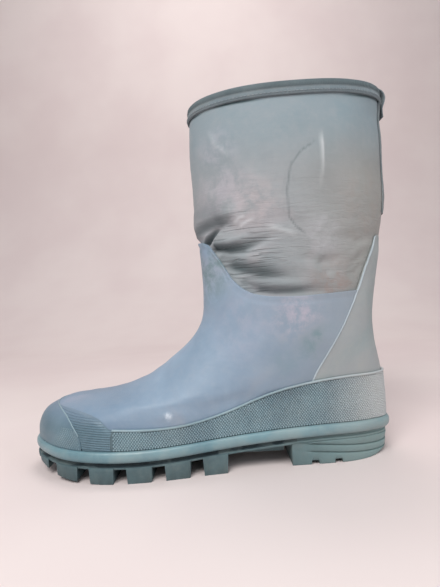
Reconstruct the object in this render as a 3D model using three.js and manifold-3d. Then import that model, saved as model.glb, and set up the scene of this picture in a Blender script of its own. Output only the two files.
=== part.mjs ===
// A left rain boot: a rubber foot laid over a neoprene bootie, with a lugged sole and a soft neoprene shaft.
// Millimetres, +Z up. The toe points to -X, the outer (lateral) side faces -Y, and the boot stands on its lugs.
import * as THREE from "three";
import { mergeVertices } from "three/addons/utils/BufferGeometryUtils.js";
import Module from "manifold-3d";

const wasm = await Module();
wasm.setup();

// Overall sizes. Places along the boot are given for a length of 300 and scale with it.
const bootLength = 300; // over the welt bead, toe to heel
const ballWidth = 100; // rubber foot, across the ball
const shaftWidth = 107; // master surface, across the calf
const shaftHeight = 296; // floor to the top edge of the shaft, at the back
const ankleHeight = 131; // below this the shaft height doesn't change the shape

// Walls, from the outside in
const fitGap = 0.3; // between two pieces that are bonded on the real boot
const overlayWall = 1.4; // foxing, toe cap and toe wings
const rubberWall = 2;
const stiffenerWall = 1.1;
const neopreneWall = 3.5;
const liningWall = 1.2;

// Sole
const plateThickness = 4.2;
const lugLength = 19.5;
const lugPitch = 28.3;
const lugCount = 5; // along each side
const lastLugCentre = 3; // the rearmost side lug
const sideLugInnerEdge = 15; // how near the side lugs come to the middle
const middleLugWidth = 20;
const lugOverhang = 3; // lugs and heel stand this far out from the rubber wall
const plateOverhang = 1.5;
const heelBreast = 62.5; // front face of the heel block
const heelNotchDepth = 3;
const heelNotchWidth = 5.5;
const heelNotchPlaces = [80.5, 99]; // transverse channels across the heel's tread
const heelGrooveWidth = 1.3;
const heelGrooveDepth = 1.1;
const heelGrooveStart = 77;
const heelGrooveHeights = [16.2, 10.2]; // at their front end
const heelGrooveDrop = 0.09; // they fall this much for each millimetre towards the back
const archClearance = 9; // floor to the underside of the waist
const beadHeight = 9;
const beadOverhang = 4.2;
const midsoleThickness = 2.6;
const shankSize = [112, 15, 1.4];
const shankMiddle = 28;
const boardThickness = 1.4;
const sockFloor = 2.4;
const footbedThickness = 4.5;
const footbedCoverThickness = 0.9;
const footbedGap = 0.8; // all round the footbed, so that it lifts out

// Shaft
const flexBottom = 192; // the ankle's flex zone, between the foot and the shaft
const flexTop = 222;
const bindingDepth = 9;
const bindingWall = 1.6;
const threadRadius = 0.4;
const threadDrop = 7; // below the top edge
const backTapeWidth = 18;
const backTapeWall = 1;
const loopWidth = 13;
const loopWall = 1.4;
const loopRise = 7.5; // above the top edge
const loopReach = 5; // behind the binding
const loopTailDrop = 18; // top edge to the end of the stitched tail

// Grid of the master surface
const columns = 36;
const rowSteps = [0, 1, 2, 3, 3.5, 4, 5, 6, 7, 8, 9, 10, 11.5, 13, 14, 15, 16];

const lengthScale = bootLength / 300;
const footScale = ballWidth / 100;
const shaftScale = shaftWidth / 107;
const overlayInner = -fitGap;
const overlayOuter = -fitGap - overlayWall;
const neopreneOuter = rubberWall + fitGap;
const neopreneInner = neopreneOuter + neopreneWall;
const liningOuter = neopreneInner + fitGap;
const liningInner = liningOuter + liningWall;

// Catmull-Rom through values a step apart
function through(values, u) {
  const last = values.length - 1;
  const i = Math.min(Math.max(Math.floor(u), 0), last - 1);
  const s = u - i;
  const at = (k) => values[Math.min(Math.max(k, 0), last)];
  const [a, b, c, d] = [at(i - 1), at(i), at(i + 1), at(i + 2)];
  return b + 0.5 * s * (c - a + s * (2 * a - 5 * b + 4 * c - d + s * (3 * (b - c) + d - a)));
}

// A height for each place along the boot, from [x, z] points in order of x, smooth between them
function heightLine(points) {
  const xs = points.map((p) => p[0] * lengthScale);
  const zs = points.map((p) => heightOf(p[1]));
  return (x) => {
    const at = Math.min(Math.max(x, xs[0]), xs[xs.length - 1]);
    let i = 0;
    while (i < xs.length - 2 && at > xs[i + 1]) i += 1;
    return through(zs, i + (at - xs[i]) / (xs[i + 1] - xs[i]));
  };
}

// Heights above the ankle stretch with the shaft
function heightOf(z) {
  const stretch = (shaftHeight - ankleHeight) / (296 - ankleHeight);
  return z <= ankleHeight ? z : ankleHeight + (z - ankleHeight) * stretch;
}

// Sections through the boot, sole to top edge. Each runs from a point on the heel side to one on the toe side,
// has a half width, and goes from the outline of a foot (0) to an oval (1).
const sections = [
  { back: [145.5, 12], front: [-145, 12], half: 49, oval: 0 },
  { back: [146.2, 28], front: [-145.8, 27], half: 50, oval: 0 },
  { back: [146.4, 36], front: [-144.8, 37], half: 49.5, oval: 0 },
  { back: [146.4, 43], front: [-138.8, 46.5], half: 48.5, oval: 0.05 },
  { back: [146.3, 49], front: [-123, 55.5], half: 46.5, oval: 0.14 },
  { back: [146.1, 54], front: [-96, 60], half: 44, oval: 0.28 },
  { back: [145.8, 60], front: [-68, 65.5], half: 42, oval: 0.5 },
  { back: [145.4, 68], front: [-42, 77], half: 41, oval: 0.72 },
  { back: [143.5, 79], front: [-18.5, 94.5], half: 41.2, oval: 0.88 },
  { back: [141, 93], front: [-4.5, 114], half: 42.5, oval: 1 },
  { back: [140.2, 112], front: [-1.5, 135], half: 44, oval: 1 },
  { back: [143.2, 136], front: [-1.8, 158], half: 45.5, oval: 1 },
  { back: [149, 168], front: [-3.4, 180], half: 47.5, oval: 1 },
  { back: [155.3, 202], front: [-7.6, 206], half: 51, oval: 1 },
  { back: [158.8, 236], front: [-9, 240], half: 53.5, oval: 1 },
  { back: [157.6, 272], front: [-8.8, 270], half: 53, oval: 1 },
  { back: [155.8, 296], front: [-7.2, 291], half: 51.5, oval: 1 },
];
const topStep = sections.length - 1;
const footSteps = 9; // the sections below this belong to the foot
const backX = sections.map((s) => s.back[0] * lengthScale);
const backZ = sections.map((s) => heightOf(s.back[1]));
const frontX = sections.map((s) => s.front[0] * lengthScale);
const frontZ = sections.map((s) => heightOf(s.front[1]));
const halves = sections.map((s, i) => {
  const share = Math.min(Math.max((i - footSteps) / (topStep - footSteps - 3), 0), 1);
  return s.half * (footScale + (shaftScale - footScale) * share);
});
const ovals = sections.map((s) => s.oval);

// The foot outline against an oval of the same length, heel to toe, on the outer and the inner side
const outerShape = [1.02, 0.98, 0.84, 0.755, 0.745, 0.8, 0.93, 1.09, 1.25, 1.36, 1.22];
const innerShape = [1.02, 0.95, 0.78, 0.66, 0.61, 0.65, 0.8, 1.02, 1.24, 1.44, 1.4];
const toeShift = 6; // the toe's tip lies this far towards the inner side

// A point of the master surface, which is the outside of the rubber foot: step counts sections from the
// sole up, turn goes from the back of the heel (0) past the outer side (0.25) to the toe (0.5) and the
// inner side (0.75).
function masterPoint(step, turn) {
  const angle = 2 * Math.PI * turn;
  const along = (1 - Math.cos(angle)) / 2;
  const sine = Math.sin(angle);
  const oval = Math.min(Math.max(through(ovals, step), 0), 1);
  const foot = through(sine >= 0 ? outerShape : innerShape, along * 10);
  const bulge = Math.abs(sine) * (foot + (1 - foot) * oval);
  const shift = (1 - oval) * toeShift * THREE.MathUtils.smoothstep(along, 0.55, 1) * footScale;
  const bx = through(backX, step);
  const bz = through(backZ, step);
  return new THREE.Vector3(
    bx + (through(frontX, step) - bx) * along,
    -Math.sign(sine) * bulge * through(halves, step) + shift,
    bz + (through(frontZ, step) - bz) * along,
  );
}

// The same surface moved inwards by depth
function surfacePoint(step, turn, depth) {
  const h = 0.02;
  const low = Math.max(step - h, 0);
  const high = Math.min(step + h, topStep);
  const up = masterPoint(high, turn).sub(masterPoint(low, turn));
  const round = masterPoint(step, turn + 0.002).sub(masterPoint(step, turn - 0.002));
  return masterPoint(step, turn).addScaledVector(up.cross(round).normalize(), -depth);
}

// The step at which the moved surface reaches a height line
function stepAt(turn, depth, line) {
  let [low, high] = [0, topStep];
  for (let i = 0; i < 30; i += 1) {
    const middle = (low + high) / 2;
    const p = surfacePoint(middle, turn, depth);
    if (p.z < line(p.x)) low = middle;
    else high = middle;
  }
  return (low + high) / 2;
}

// Lines seen from the side, as [x, z]
const soleLine = heightLine([
  [-152, 16.6], [-120, 16.2], [-82, 15], [-45, 14.8], [-8, 16.6], [30, 19.4], [69, 21.8], [101, 22.9],
  [130, 22], [152, 19.6],
]);
const treadLine = (x) => {
  const rise = Math.max(-72 * lengthScale - x, 0) / lengthScale;
  return 0.0018 * rise * rise;
};
const beadTop = (x) => soleLine(x) + beadHeight;
const foxingTop = [
  [-74, 39.6], [-60, 38.8], [-40, 38.2], [-20, 39], [0, 42.5], [20, 48.3], [40, 55.3], [60, 61], [82, 65],
  [108, 67.2], [138, 66.8], [152, 66.3],
];
const wingTop = [[-74, 39.6], [-84, 47.5], [-95, 51.6], [-108, 53.4], [-121, 53.4]];
const capEdge = [[-97, 26], [-98.6, 34], [-105.5, 44], [-111, 48.6], [-121, 52.4], [-133, 55.5], [-139, 60]];
const counterEdge = [
  [66, 10], [72, 30], [78, 52], [82, 67], [95, 89], [107.7, 109], [119.6, 132.5], [126, 146.3], [130, 154.3],
  [140, 174.4], [145, 183], [152, 189.5],
];
const scoopEdge = [
  [-14, 181], [-4, 180], [4, 176], [10, 167.5], [15.5, 158.7], [22.4, 147], [30, 139.5], [38, 135.2],
  [50, 132.6], [72, 131.7], [96, 132.6], [118.6, 133.6],
];
const topEdge = heightLine([[-10, 291], [20, 290], [75, 289.6], [120, 292.4], [157, 296]]);

// Closed meshes

function geometryOf(vertices, faces) {
  const geometry = new THREE.BufferGeometry().setFromPoints(vertices);
  geometry.setIndex(faces);
  return geometry;
}

// Skins a grid of rows of points, each row closed on itself, facing out; facing in when turned
function skinRows(faces, rows, offset, turned) {
  const count = rows[0].length;
  for (let r = 0; r < rows.length - 1; r += 1) {
    for (let c = 0; c < count; c += 1) {
      const d = (c + 1) % count;
      const [a, b, e, f] = [offset + r * count + c, offset + (r + 1) * count + c, offset + (r + 1) * count + d,
        offset + r * count + d];
      faces.push(...(turned ? [a, f, e, a, e, b] : [a, b, e, a, e, f]));
    }
  }
}

// Closes one ring of points across from side to side; it faces down, or up when turned
function closeRing(faces, start, count, turned) {
  for (let i = 0; i < count / 2; i += 1) {
    const [a, b, c, d] = [start + i, start + i + 1, start + count - i - 1, start + ((count - i) % count)];
    const tris = [];
    if (d !== a) tris.push([a, c, d]);
    if (b !== c) tris.push([a, b, c]);
    tris.forEach((t) => faces.push(...(turned ? t.reverse() : t)));
  }
}

// A solid block from rings of points, bottom to top
function stackOf(rings) {
  const faces = [];
  skinRows(faces, rings, 0, false);
  closeRing(faces, 0, columns, false);
  closeRing(faces, (rings.length - 1) * columns, columns, true);
  return geometryOf(rings.flat(), faces);
}

// A wall between an outer and an inner grid, open at the top; with a floor it's a cup, without one a sleeve
function wallOf(outer, inner, hasFloor) {
  const faces = [];
  const start = outer.length * columns;
  skinRows(faces, outer, 0, false);
  skinRows(faces, inner, start, true);
  const topOut = (outer.length - 1) * columns;
  const topIn = start + (inner.length - 1) * columns;
  for (let c = 0; c < columns; c += 1) {
    const d = (c + 1) % columns;
    faces.push(topOut + d, topOut + c, topIn + c, topOut + d, topIn + c, topIn + d);
    if (!hasFloor) faces.push(c, d, start + d, c, start + d, start + c);
  }
  if (hasFloor) {
    closeRing(faces, 0, columns, false);
    closeRing(faces, start, columns, true);
  }
  return geometryOf([...outer, ...inner].flat(), faces);
}

// A loop round the boot with a closed section; sectionAt gives its corners, anticlockwise seen along the loop
function loopOf(sectionAt) {
  const rings = Array.from({ length: columns }, (_, c) => sectionAt(c / columns));
  const count = rings[0].length;
  const faces = [];
  for (let c = 0; c < columns; c += 1) {
    const d = (c + 1) % columns;
    for (let k = 0; k < count; k += 1) {
      const l = (k + 1) % count;
      const [a, b, e, f] = [c * count + k, d * count + k, d * count + l, c * count + l];
      faces.push(a, b, e, a, e, f);
    }
  }
  return geometryOf(rings.flat(), faces);
}

// Solids for cutting and joining

function solid(geometry) {
  const plain = geometry.index ? geometry.toNonIndexed() : geometry.clone();
  plain.deleteAttribute("normal");
  plain.deleteAttribute("uv");
  const merged = mergeVertices(plain, 1e-4);
  const triVerts = new Uint32Array(merged.index.array);
  const mesh = new wasm.Mesh({ numProp: 3, vertProperties: merged.attributes.position.array, triVerts });
  return new wasm.Manifold(mesh);
}

function geometryFrom(cut) {
  const mesh = cut.getMesh();
  const geometry = new THREE.BufferGeometry();
  geometry.setAttribute("position", new THREE.BufferAttribute(mesh.vertProperties, 3));
  geometry.setIndex(new THREE.BufferAttribute(mesh.triVerts, 1));
  return geometry;
}

function block(x0, x1, y0, y1, z0, z1) {
  const box = new THREE.BoxGeometry(x1 - x0, y1 - y0, z1 - z0);
  return solid(box.translate((x0 + x1) / 2, (y0 + y1) / 2, (z0 + z1) / 2));
}

// A side pattern, cut right through the boot: an outline of [x, z] corners pushed along Y
function pattern(corners, y0 = -200, y1 = 200) {
  const shape = new THREE.Shape(corners.map(([x, z]) => new THREE.Vector2(x, z)));
  const prism = new THREE.ExtrudeGeometry(shape, { depth: y1 - y0, bevelEnabled: false });
  return solid(prism.rotateX(Math.PI / 2).translate(0, y1, 0));
}

// Points along a height line from one x to another, moved up by lift
function traced(points, fromX, toX, count, lift = 0) {
  const line = typeof points === "function" ? points : heightLine(points);
  return Array.from({ length: count + 1 }, (_, i) => {
    const x = fromX + ((toX - fromX) * i) / count;
    return [x, line(x) + lift];
  });
}

// A smooth side line through its own corners, for lines that turn back on themselves
function smoothLine(points, count, offset = 0) {
  const curve = new THREE.SplineCurve(points.map(([x, z]) => new THREE.Vector2(x * lengthScale, heightOf(z))));
  return curve.getSpacedPoints(count).map((p, i, all) => {
    const [a, b] = [all[Math.max(i - 1, 0)], all[Math.min(i + 1, count)]];
    const length = Math.hypot(b.x - a.x, b.y - a.y);
    return [p.x - (offset * (b.y - a.y)) / length, p.y + (offset * (b.x - a.x)) / length];
  });
}

const turns = Array.from({ length: columns }, (_, i) => i / columns);
const ringAt = (depth, line, level = beadTop) =>
  turns.map((turn) => {
    const p = surfacePoint(stepAt(turn, depth, level), turn, depth);
    p.z = line(p.x);
    return p;
  });
const raised = (line, by) => (x) => line(x) + by;

// The wall between two depths, from a bottom line up to the top edge
function layer(outerDepth, innerDepth, bottomLine, floor = 0) {
  const gridAt = (depth, bottom) => {
    const starts = turns.map((turn) => stepAt(turn, depth, bottom));
    const tops = turns.map((turn) => stepAt(turn, depth, topEdge));
    return rowSteps.map((row, r) =>
      turns.map((turn, c) => {
        const share = Math.min(row / 3, 1);
        const step = row < 3 ? starts[c] + (3 - starts[c]) * share : row;
        return surfacePoint(r === rowSteps.length - 1 ? tops[c] : Math.min(step, tops[c]), turn, depth);
      }),
    );
  };
  const outer = gridAt(outerDepth, bottomLine);
  return solid(wallOf(outer, gridAt(innerDepth, raised(bottomLine, floor)), floor > 0));
}

// Levels of the stack under the foot, upwards from the outsole plate
const midsoleBottom = raised(soleLine, fitGap);
const midsoleTop = raised(midsoleBottom, midsoleThickness);
const boardBottom = raised(midsoleTop, fitGap);
const boardTop = raised(boardBottom, boardThickness);
const sockBottom = raised(boardTop, fitGap);
const liningBottom = raised(sockBottom, sockFloor + fitGap);
const footbedBottom = raised(liningBottom, liningWall + fitGap);
const footbedTop = raised(footbedBottom, footbedThickness);
const coverBottom = raised(footbedTop, fitGap);
const coverTop = raised(coverBottom, footbedCoverThickness);

const boot = new THREE.Group();
const rubber = { color: 0x5f7672, roughness: 0.55, metalness: 0 };
function add(name, geometry, look = rubber) {
  const mesh = new THREE.Mesh(geometry, new THREE.MeshStandardMaterial(look));
  mesh.name = name;
  boot.add(mesh);
}
const neoprene = { color: 0x7d8583, roughness: 0.85, metalness: 0 };
const lining = { color: 0x2e3331, roughness: 0.95, metalness: 0 };
const webbing = { color: 0x6b7776, roughness: 0.9, metalness: 0 };
const foam = { color: 0x3a3f3e, roughness: 0.9, metalness: 0 };
const steel = { color: 0x8d9196, roughness: 0.35, metalness: 1 };

// Outsole: a plate, side lugs in pairs with middle lugs between them, and a narrow waist, moulded in one
function outsole() {
  const plate = stackOf([
    ringAt(-plateOverhang, raised(soleLine, -plateThickness)),
    ringAt(-plateOverhang, soleLine),
  ]);
  const tread = solid(stackOf([
    ringAt(-lugOverhang, treadLine),
    ringAt(-lugOverhang, raised(soleLine, -plateThickness / 2)),
  ]));
  let lugs = block(12 * lengthScale, (heelBreast - 5) * lengthScale, -24, 22, archClearance, 60);
  for (let i = 0; i < lugCount + 1; i += 1) {
    const centre = lastLugCentre - i * lugPitch;
    const [x0, x1] = [(centre - lugLength / 2) * lengthScale, (centre + lugLength / 2) * lengthScale];
    lugs = lugs.add(block(x0, x1, -200, -sideLugInnerEdge, -5, 60));
    lugs = lugs.add(block(x0, x1, sideLugInnerEdge, 200, -5, 60));
    const shift = (lugPitch * lengthScale) / 2;
    lugs = lugs.add(block(x0 - shift, x1 - shift, -middleLugWidth / 2, middleLugWidth / 2, -5, 60));
  }
  return solid(plate).add(tread.intersect(lugs));
}

// Heel block: two falling grooves round its sides, and channels across its tread
function heelBlock() {
  const top = raised(soleLine, -plateThickness - fitGap);
  const bevel = (x) => 0.0054 * Math.max(x / lengthScale - 122, 0) ** 2;
  const body = solid(stackOf([ringAt(-lugOverhang, bevel), ringAt(-lugOverhang, top)]));
  const grooveInner = heelGrooveDepth - lugOverhang;
  const core = solid(stackOf([ringAt(grooveInner, () => -10), ringAt(grooveInner, () => 60)]));
  let heel = body.intersect(block(heelBreast * lengthScale, 200, -100, 100, -10, 60));
  for (const height of heelGrooveHeights) {
    const start = heelGrooveStart * lengthScale;
    const fall = heelGrooveDrop * (200 - start);
    const half = heelGrooveWidth / 2;
    const slot = pattern([
      [start, height - half], [200, height - fall - half], [200, height - fall + half], [start, height + half],
    ]);
    heel = heel.subtract(slot.subtract(core));
  }
  for (const place of heelNotchPlaces) {
    const half = heelNotchWidth / 2;
    const at = place * lengthScale;
    heel = heel.subtract(block(at - half, at + half, -100, 100, -5, heelNotchDepth));
  }
  return heel;
}

// Welt bead: the smooth round strip between the sole and the foxing
function weltBead() {
  const corners = [
    [-fitGap, 0.2], [-fitGap, beadHeight - 0.4], [-0.55 * beadOverhang, beadHeight - 0.3],
    [-0.88 * beadOverhang, 0.82 * beadHeight], [-beadOverhang, 0.52 * beadHeight],
    [-0.9 * beadOverhang, 0.2 * beadHeight], [-0.6 * beadOverhang, 0.2],
  ];
  return loopOf((turn) =>
    corners.map(([depth, height]) => {
      const p = surfacePoint(stepAt(turn, 0, raised(soleLine, height)), turn, depth);
      p.z = soleLine(p.x) + height;
      return p;
    }),
  );
}

add("outsole", geometryFrom(outsole()));
add("heel_block", geometryFrom(heelBlock()));
add("welt_bead", weltBead());

const shankHalf = [(shankSize[0] * lengthScale) / 2, shankSize[1] / 2];
const shankAt = shankMiddle * lengthScale;
const shankBottom = raised(midsoleTop, -shankSize[2] - fitGap);
const shankSlab = (grow, lift) =>
  solid(stackOf([
    ringAt(10, raised(shankBottom, -lift)), ringAt(10, raised(shankBottom, shankSize[2] + lift * 9)),
  ]))
    .intersect(block(shankAt - shankHalf[0] - grow, shankAt + shankHalf[0] + grow,
      -shankHalf[1] - grow, shankHalf[1] + grow, 0, 100));
const midsoleInset = rubberWall + fitGap + 0.4;
const midsole = solid(stackOf([ringAt(midsoleInset, midsoleBottom), ringAt(midsoleInset, midsoleTop)]));
add("midsole", geometryFrom(midsole.subtract(shankSlab(fitGap, fitGap))), foam);
add("shank", geometryFrom(shankSlab(0, 0)), steel);
add("insole_board", stackOf([ringAt(midsoleInset, boardBottom), ringAt(midsoleInset, boardTop)]), foam);

const footbedInset = liningInner + footbedGap;
add("footbed", stackOf([ringAt(footbedInset, footbedBottom), ringAt(footbedInset, footbedTop)]), foam);
add("footbed_cover", stackOf([ringAt(footbedInset, coverBottom), ringAt(footbedInset, coverTop)]), lining);

// Rubber foot: one wall, cut into the vamp and the heel counter by their side patterns
const rubberLayer = layer(0, rubberWall, midsoleBottom);
const seamGap = 0.45;
const counterPattern = pattern([
  ...smoothLine(counterEdge, 26, -seamGap / 2), [400, heightOf(189)], [400, 0], [66 * lengthScale, 0],
]);
const vampPattern = pattern([
  [-300, 0], [66 * lengthScale, 0], ...smoothLine(counterEdge.slice(0, 7), 18, seamGap / 2),
  ...smoothLine(scoopEdge, 26).reverse(), [-300, heightOf(181)],
]);
add("vamp", geometryFrom(rubberLayer.intersect(vampPattern)));
add("heel_counter", geometryFrom(rubberLayer.intersect(counterPattern)));

// Overlays on the rubber foot: foxing band, toe cap and a wing on each side of the cap
const overlayLayer = layer(overlayOuter, overlayInner, beadTop);
const foxingFront = -74 * lengthScale;
const foxingPattern = pattern([
  [foxingFront + seamGap, 0], ...traced(foxingTop, foxingFront + seamGap, 152 * lengthScale, 28),
  [400, 66.3], [400, 0],
]);
const capLine = smoothLine(capEdge, 16, seamGap / 2);
const capPattern = pattern([[-300, 0], [capLine[0][0], 0], ...capLine, [-300, 60]]);
const wingPattern = (y0, y1) =>
  pattern([
    [foxingFront, 0], ...smoothLine(wingTop, 14), ...smoothLine(capEdge.slice(0, 5), 12, -seamGap / 2).reverse(),
    [-97 * lengthScale + seamGap / 2, 0],
  ], y0, y1);
add("foxing_band", geometryFrom(overlayLayer.intersect(foxingPattern)));
add("toe_cap", geometryFrom(overlayLayer.intersect(capPattern)));
add("toe_wing_outer", geometryFrom(overlayLayer.intersect(wingPattern(-200, 0))));
add("toe_wing_inner", geometryFrom(overlayLayer.intersect(wingPattern(0, 200))));

// Bootie: neoprene with a bonded lining, sole to top edge; the flex zone at the ankle is a length of its own
const stiffenerPattern = (grow) =>
  pattern([
    [84 * lengthScale - grow, 30 - grow], [92 * lengthScale - grow, 64], [112 * lengthScale - grow, 92 + grow],
    [135 * lengthScale, 100 + grow], [200, 100 + grow], [200, 30 - grow],
  ]);
const stiffener = layer(neopreneOuter, neopreneOuter + stiffenerWall, sockBottom).intersect(stiffenerPattern(0));
const pocket = layer(neopreneOuter - 1, neopreneOuter + stiffenerWall + fitGap, sockBottom)
  .intersect(stiffenerPattern(fitGap));
add("heel_stiffener", geometryFrom(stiffener), foam);

const between = (whole, z0, z1) => whole.intersect(block(-300, 300, -200, 200, z0, z1));
const [flexLow, flexHigh] = [heightOf(flexBottom), heightOf(flexTop)];
const neopreneLayer = layer(neopreneOuter, neopreneInner, sockBottom, sockFloor).subtract(pocket);
add("neoprene_sock", geometryFrom(between(neopreneLayer, -10, flexLow)), neoprene);
add("neoprene_flex", geometryFrom(between(neopreneLayer, flexLow + fitGap, flexHigh - fitGap)), neoprene);
add("neoprene_shaft", geometryFrom(between(neopreneLayer, flexHigh, 400)), neoprene);
const liningLayer = layer(liningOuter, liningInner, liningBottom, liningWall);
add("sock_lining", geometryFrom(between(liningLayer, -10, flexLow)), lining);
add("flex_lining", geometryFrom(between(liningLayer, flexLow + fitGap, flexHigh - fitGap)), lining);
add("shaft_lining", geometryFrom(between(liningLayer, flexHigh, 400)), lining);

// Collar: binding tape folded over the top edge, and its thread
const bindingOuter = neopreneOuter - fitGap - bindingWall;
const bindingInner = liningInner + fitGap + bindingWall;
function collarPoint(turn, depth, height) {
  const p = surfacePoint(stepAt(turn, depth, raised(topEdge, Math.min(height, 0))), turn, depth);
  p.z += Math.max(height, 0);
  return p;
}
function collarBinding() {
  const crown = fitGap + bindingWall;
  const corners = [
    [bindingOuter, -bindingDepth], [bindingOuter - 0.1, -0.4], [bindingOuter + 1, crown], [bindingInner - 1, crown],
    [bindingInner, -0.4], [bindingInner, -bindingDepth], [bindingInner - bindingWall, -bindingDepth],
    [bindingInner - bindingWall, fitGap], [bindingOuter + bindingWall, fitGap],
    [bindingOuter + bindingWall, -bindingDepth],
  ];
  return loopOf((turn) => corners.map(([depth, height]) => collarPoint(turn, depth, height)).reverse());
}
function collarThread() {
  const sides = 5;
  const middle = bindingOuter - fitGap - threadRadius;
  return loopOf((turn) =>
    Array.from({ length: sides }, (_, k) => {
      const a = (2 * Math.PI * k) / sides;
      return collarPoint(turn, middle - threadRadius * Math.cos(a), -threadDrop - threadRadius * Math.sin(a));
    }),
  );
}
add("collar_binding", collarBinding(), webbing);
add("collar_thread", collarThread(), webbing);

// Back seam tape and pull loop
const backAt = (z, depth) => surfacePoint(stepAt(0, depth, () => z), 0, depth).x;
const tapeOuter = neopreneOuter - fitGap - backTapeWall;
const tapeTop = topEdge(157 * lengthScale) - bindingDepth - fitGap * 2;
const tape = layer(tapeOuter, neopreneOuter - fitGap, beadTop)
  .intersect(block(100, 200, -backTapeWidth / 2, backTapeWidth / 2, flexHigh, tapeTop));
add("back_tape", geometryFrom(tape), webbing);

function pullLoop() {
  const rim = topEdge(157 * lengthScale);
  const half = loopWall / 2;
  const crowning = loopWidth ** 2 / 8 / 45; // the binding curves away from the flat loop by this much
  const inside = backAt(rim - 1, bindingInner) - fitGap - half - crowning;
  const outside = backAt(rim - 1, bindingOuter);
  const tailX = (z) => backAt(z, tapeOuter) + fitGap * 1.5 + half;
  const middle = [
    [inside - 0.5, rim - 12], [inside - 0.2, rim - 1], [inside, rim + 3], [inside + 2.4, rim + loopRise - 1.8],
    [inside + 6.4, rim + loopRise - half],
    [outside + 2, rim + loopRise - 3.6], [outside + loopReach - half, rim - 1], [outside + loopReach - 1.6, rim - 6],
    [tailX(rim - 11) + 0.3, rim - 11], [tailX(rim - loopTailDrop), rim - loopTailDrop],
  ];
  const curve = new THREE.SplineCurve(middle.map(([x, z]) => new THREE.Vector2(x, z)));
  const spaced = curve.getSpacedPoints(30);
  const side = (offset) =>
    spaced.map((p, i) => {
      const [a, b] = [spaced[Math.max(i - 1, 0)], spaced[Math.min(i + 1, 30)]];
      const length = Math.hypot(b.x - a.x, b.y - a.y);
      return [p.x - (offset * (b.y - a.y)) / length, p.y + (offset * (b.x - a.x)) / length];
    });
  return pattern([...side(-half), ...side(half).reverse()], -loopWidth / 2, loopWidth / 2);
}
add("pull_loop", geometryFrom(pullLoop()), webbing);

// Stand the boot at the middle of its own footprint
const extent = new THREE.Box3().setFromObject(boot);
const centre = extent.getCenter(new THREE.Vector3());
boot.position.set(-centre.x, -centre.y, -extent.min.z);

export default boot;
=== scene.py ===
import math

import bmesh
import bpy
import numpy as np
from mathutils import Matrix, Vector


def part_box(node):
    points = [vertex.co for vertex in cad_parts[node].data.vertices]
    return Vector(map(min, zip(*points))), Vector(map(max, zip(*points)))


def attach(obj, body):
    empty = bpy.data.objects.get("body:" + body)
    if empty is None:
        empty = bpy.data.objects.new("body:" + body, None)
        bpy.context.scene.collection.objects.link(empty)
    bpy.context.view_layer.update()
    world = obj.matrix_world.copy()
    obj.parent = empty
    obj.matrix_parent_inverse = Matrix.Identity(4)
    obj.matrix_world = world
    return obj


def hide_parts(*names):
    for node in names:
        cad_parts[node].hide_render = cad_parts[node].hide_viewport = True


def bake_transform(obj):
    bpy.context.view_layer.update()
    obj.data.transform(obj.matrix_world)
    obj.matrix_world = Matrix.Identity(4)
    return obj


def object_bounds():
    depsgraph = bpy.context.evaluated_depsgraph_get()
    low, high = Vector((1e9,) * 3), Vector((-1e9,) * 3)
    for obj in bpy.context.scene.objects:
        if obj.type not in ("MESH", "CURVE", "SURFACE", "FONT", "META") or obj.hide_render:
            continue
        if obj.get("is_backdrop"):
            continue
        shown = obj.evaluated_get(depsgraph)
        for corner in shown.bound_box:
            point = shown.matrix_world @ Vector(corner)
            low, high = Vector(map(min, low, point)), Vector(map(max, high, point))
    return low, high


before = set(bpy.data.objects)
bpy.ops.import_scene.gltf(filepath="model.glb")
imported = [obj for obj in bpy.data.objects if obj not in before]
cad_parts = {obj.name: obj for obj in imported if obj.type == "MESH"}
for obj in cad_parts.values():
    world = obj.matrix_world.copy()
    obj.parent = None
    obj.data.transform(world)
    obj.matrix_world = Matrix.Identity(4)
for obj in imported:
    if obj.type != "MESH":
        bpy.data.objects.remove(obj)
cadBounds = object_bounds()

# The boot's master surface is the outside of the rubber foot, in millimetres, with the toe towards -X. Each
# section, from the sole up, has its back and front points in side view, its half width, and how oval it is,
# where 0 is the foot's outline
sections = [
    ((145.5, 12), (-145, 12), 49, 0),
    ((146.2, 28), (-145.8, 27), 50, 0),
    ((146.4, 36), (-144.8, 37), 49.5, 0),
    ((146.4, 43), (-138.8, 46.5), 48.5, 0.05),
    ((146.3, 49), (-123, 55.5), 46.5, 0.14),
    ((146.1, 54), (-96, 60), 44, 0.28),
    ((145.8, 60), (-68, 65.5), 42, 0.5),
    ((145.4, 68), (-42, 77), 41, 0.72),
    ((143.5, 79), (-18.5, 94.5), 41.2, 0.88),
    ((141, 93), (-4.5, 114), 42.5, 1),
    ((140.2, 112), (-1.5, 135), 44, 1),
    ((143.2, 136), (-1.8, 158), 45.5, 1),
    ((149, 168), (-3.4, 180), 47.5, 1),
    ((155.3, 202), (-7.6, 206), 51, 1),
    ((158.8, 236), (-9, 240), 53.5, 1),
    ((157.6, 272), (-8.8, 270), 53, 1),
    ((155.8, 296), (-7.2, 291), 51.5, 1),
]
topStep = len(sections) - 1
backX, backZ = (np.array([s[0][k] for s in sections], float) for k in (0, 1))
frontX, frontZ = (np.array([s[1][k] for s in sections], float) for k in (0, 1))
halves = np.array([s[2] for s in sections], float)
ovals = np.array([s[3] for s in sections], float)
# How full the foot's outline is on each side, from heel to toe, where 1 is an ellipse
outerShape = np.array([1.02, 0.98, 0.84, 0.755, 0.745, 0.8, 0.93, 1.09, 1.25, 1.36, 1.22])
innerShape = np.array([1.02, 0.95, 0.78, 0.66, 0.61, 0.65, 0.8, 1.02, 1.24, 1.44, 1.4])
toeShift = 6  # how far the toe leans to the inner side
breastX = 62.5  # the front face of the heel block
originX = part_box("heel_block")[0].x * 1000 - breastX
originY = (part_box("pull_loop")[0].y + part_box("pull_loop")[1].y) * 500


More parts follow.
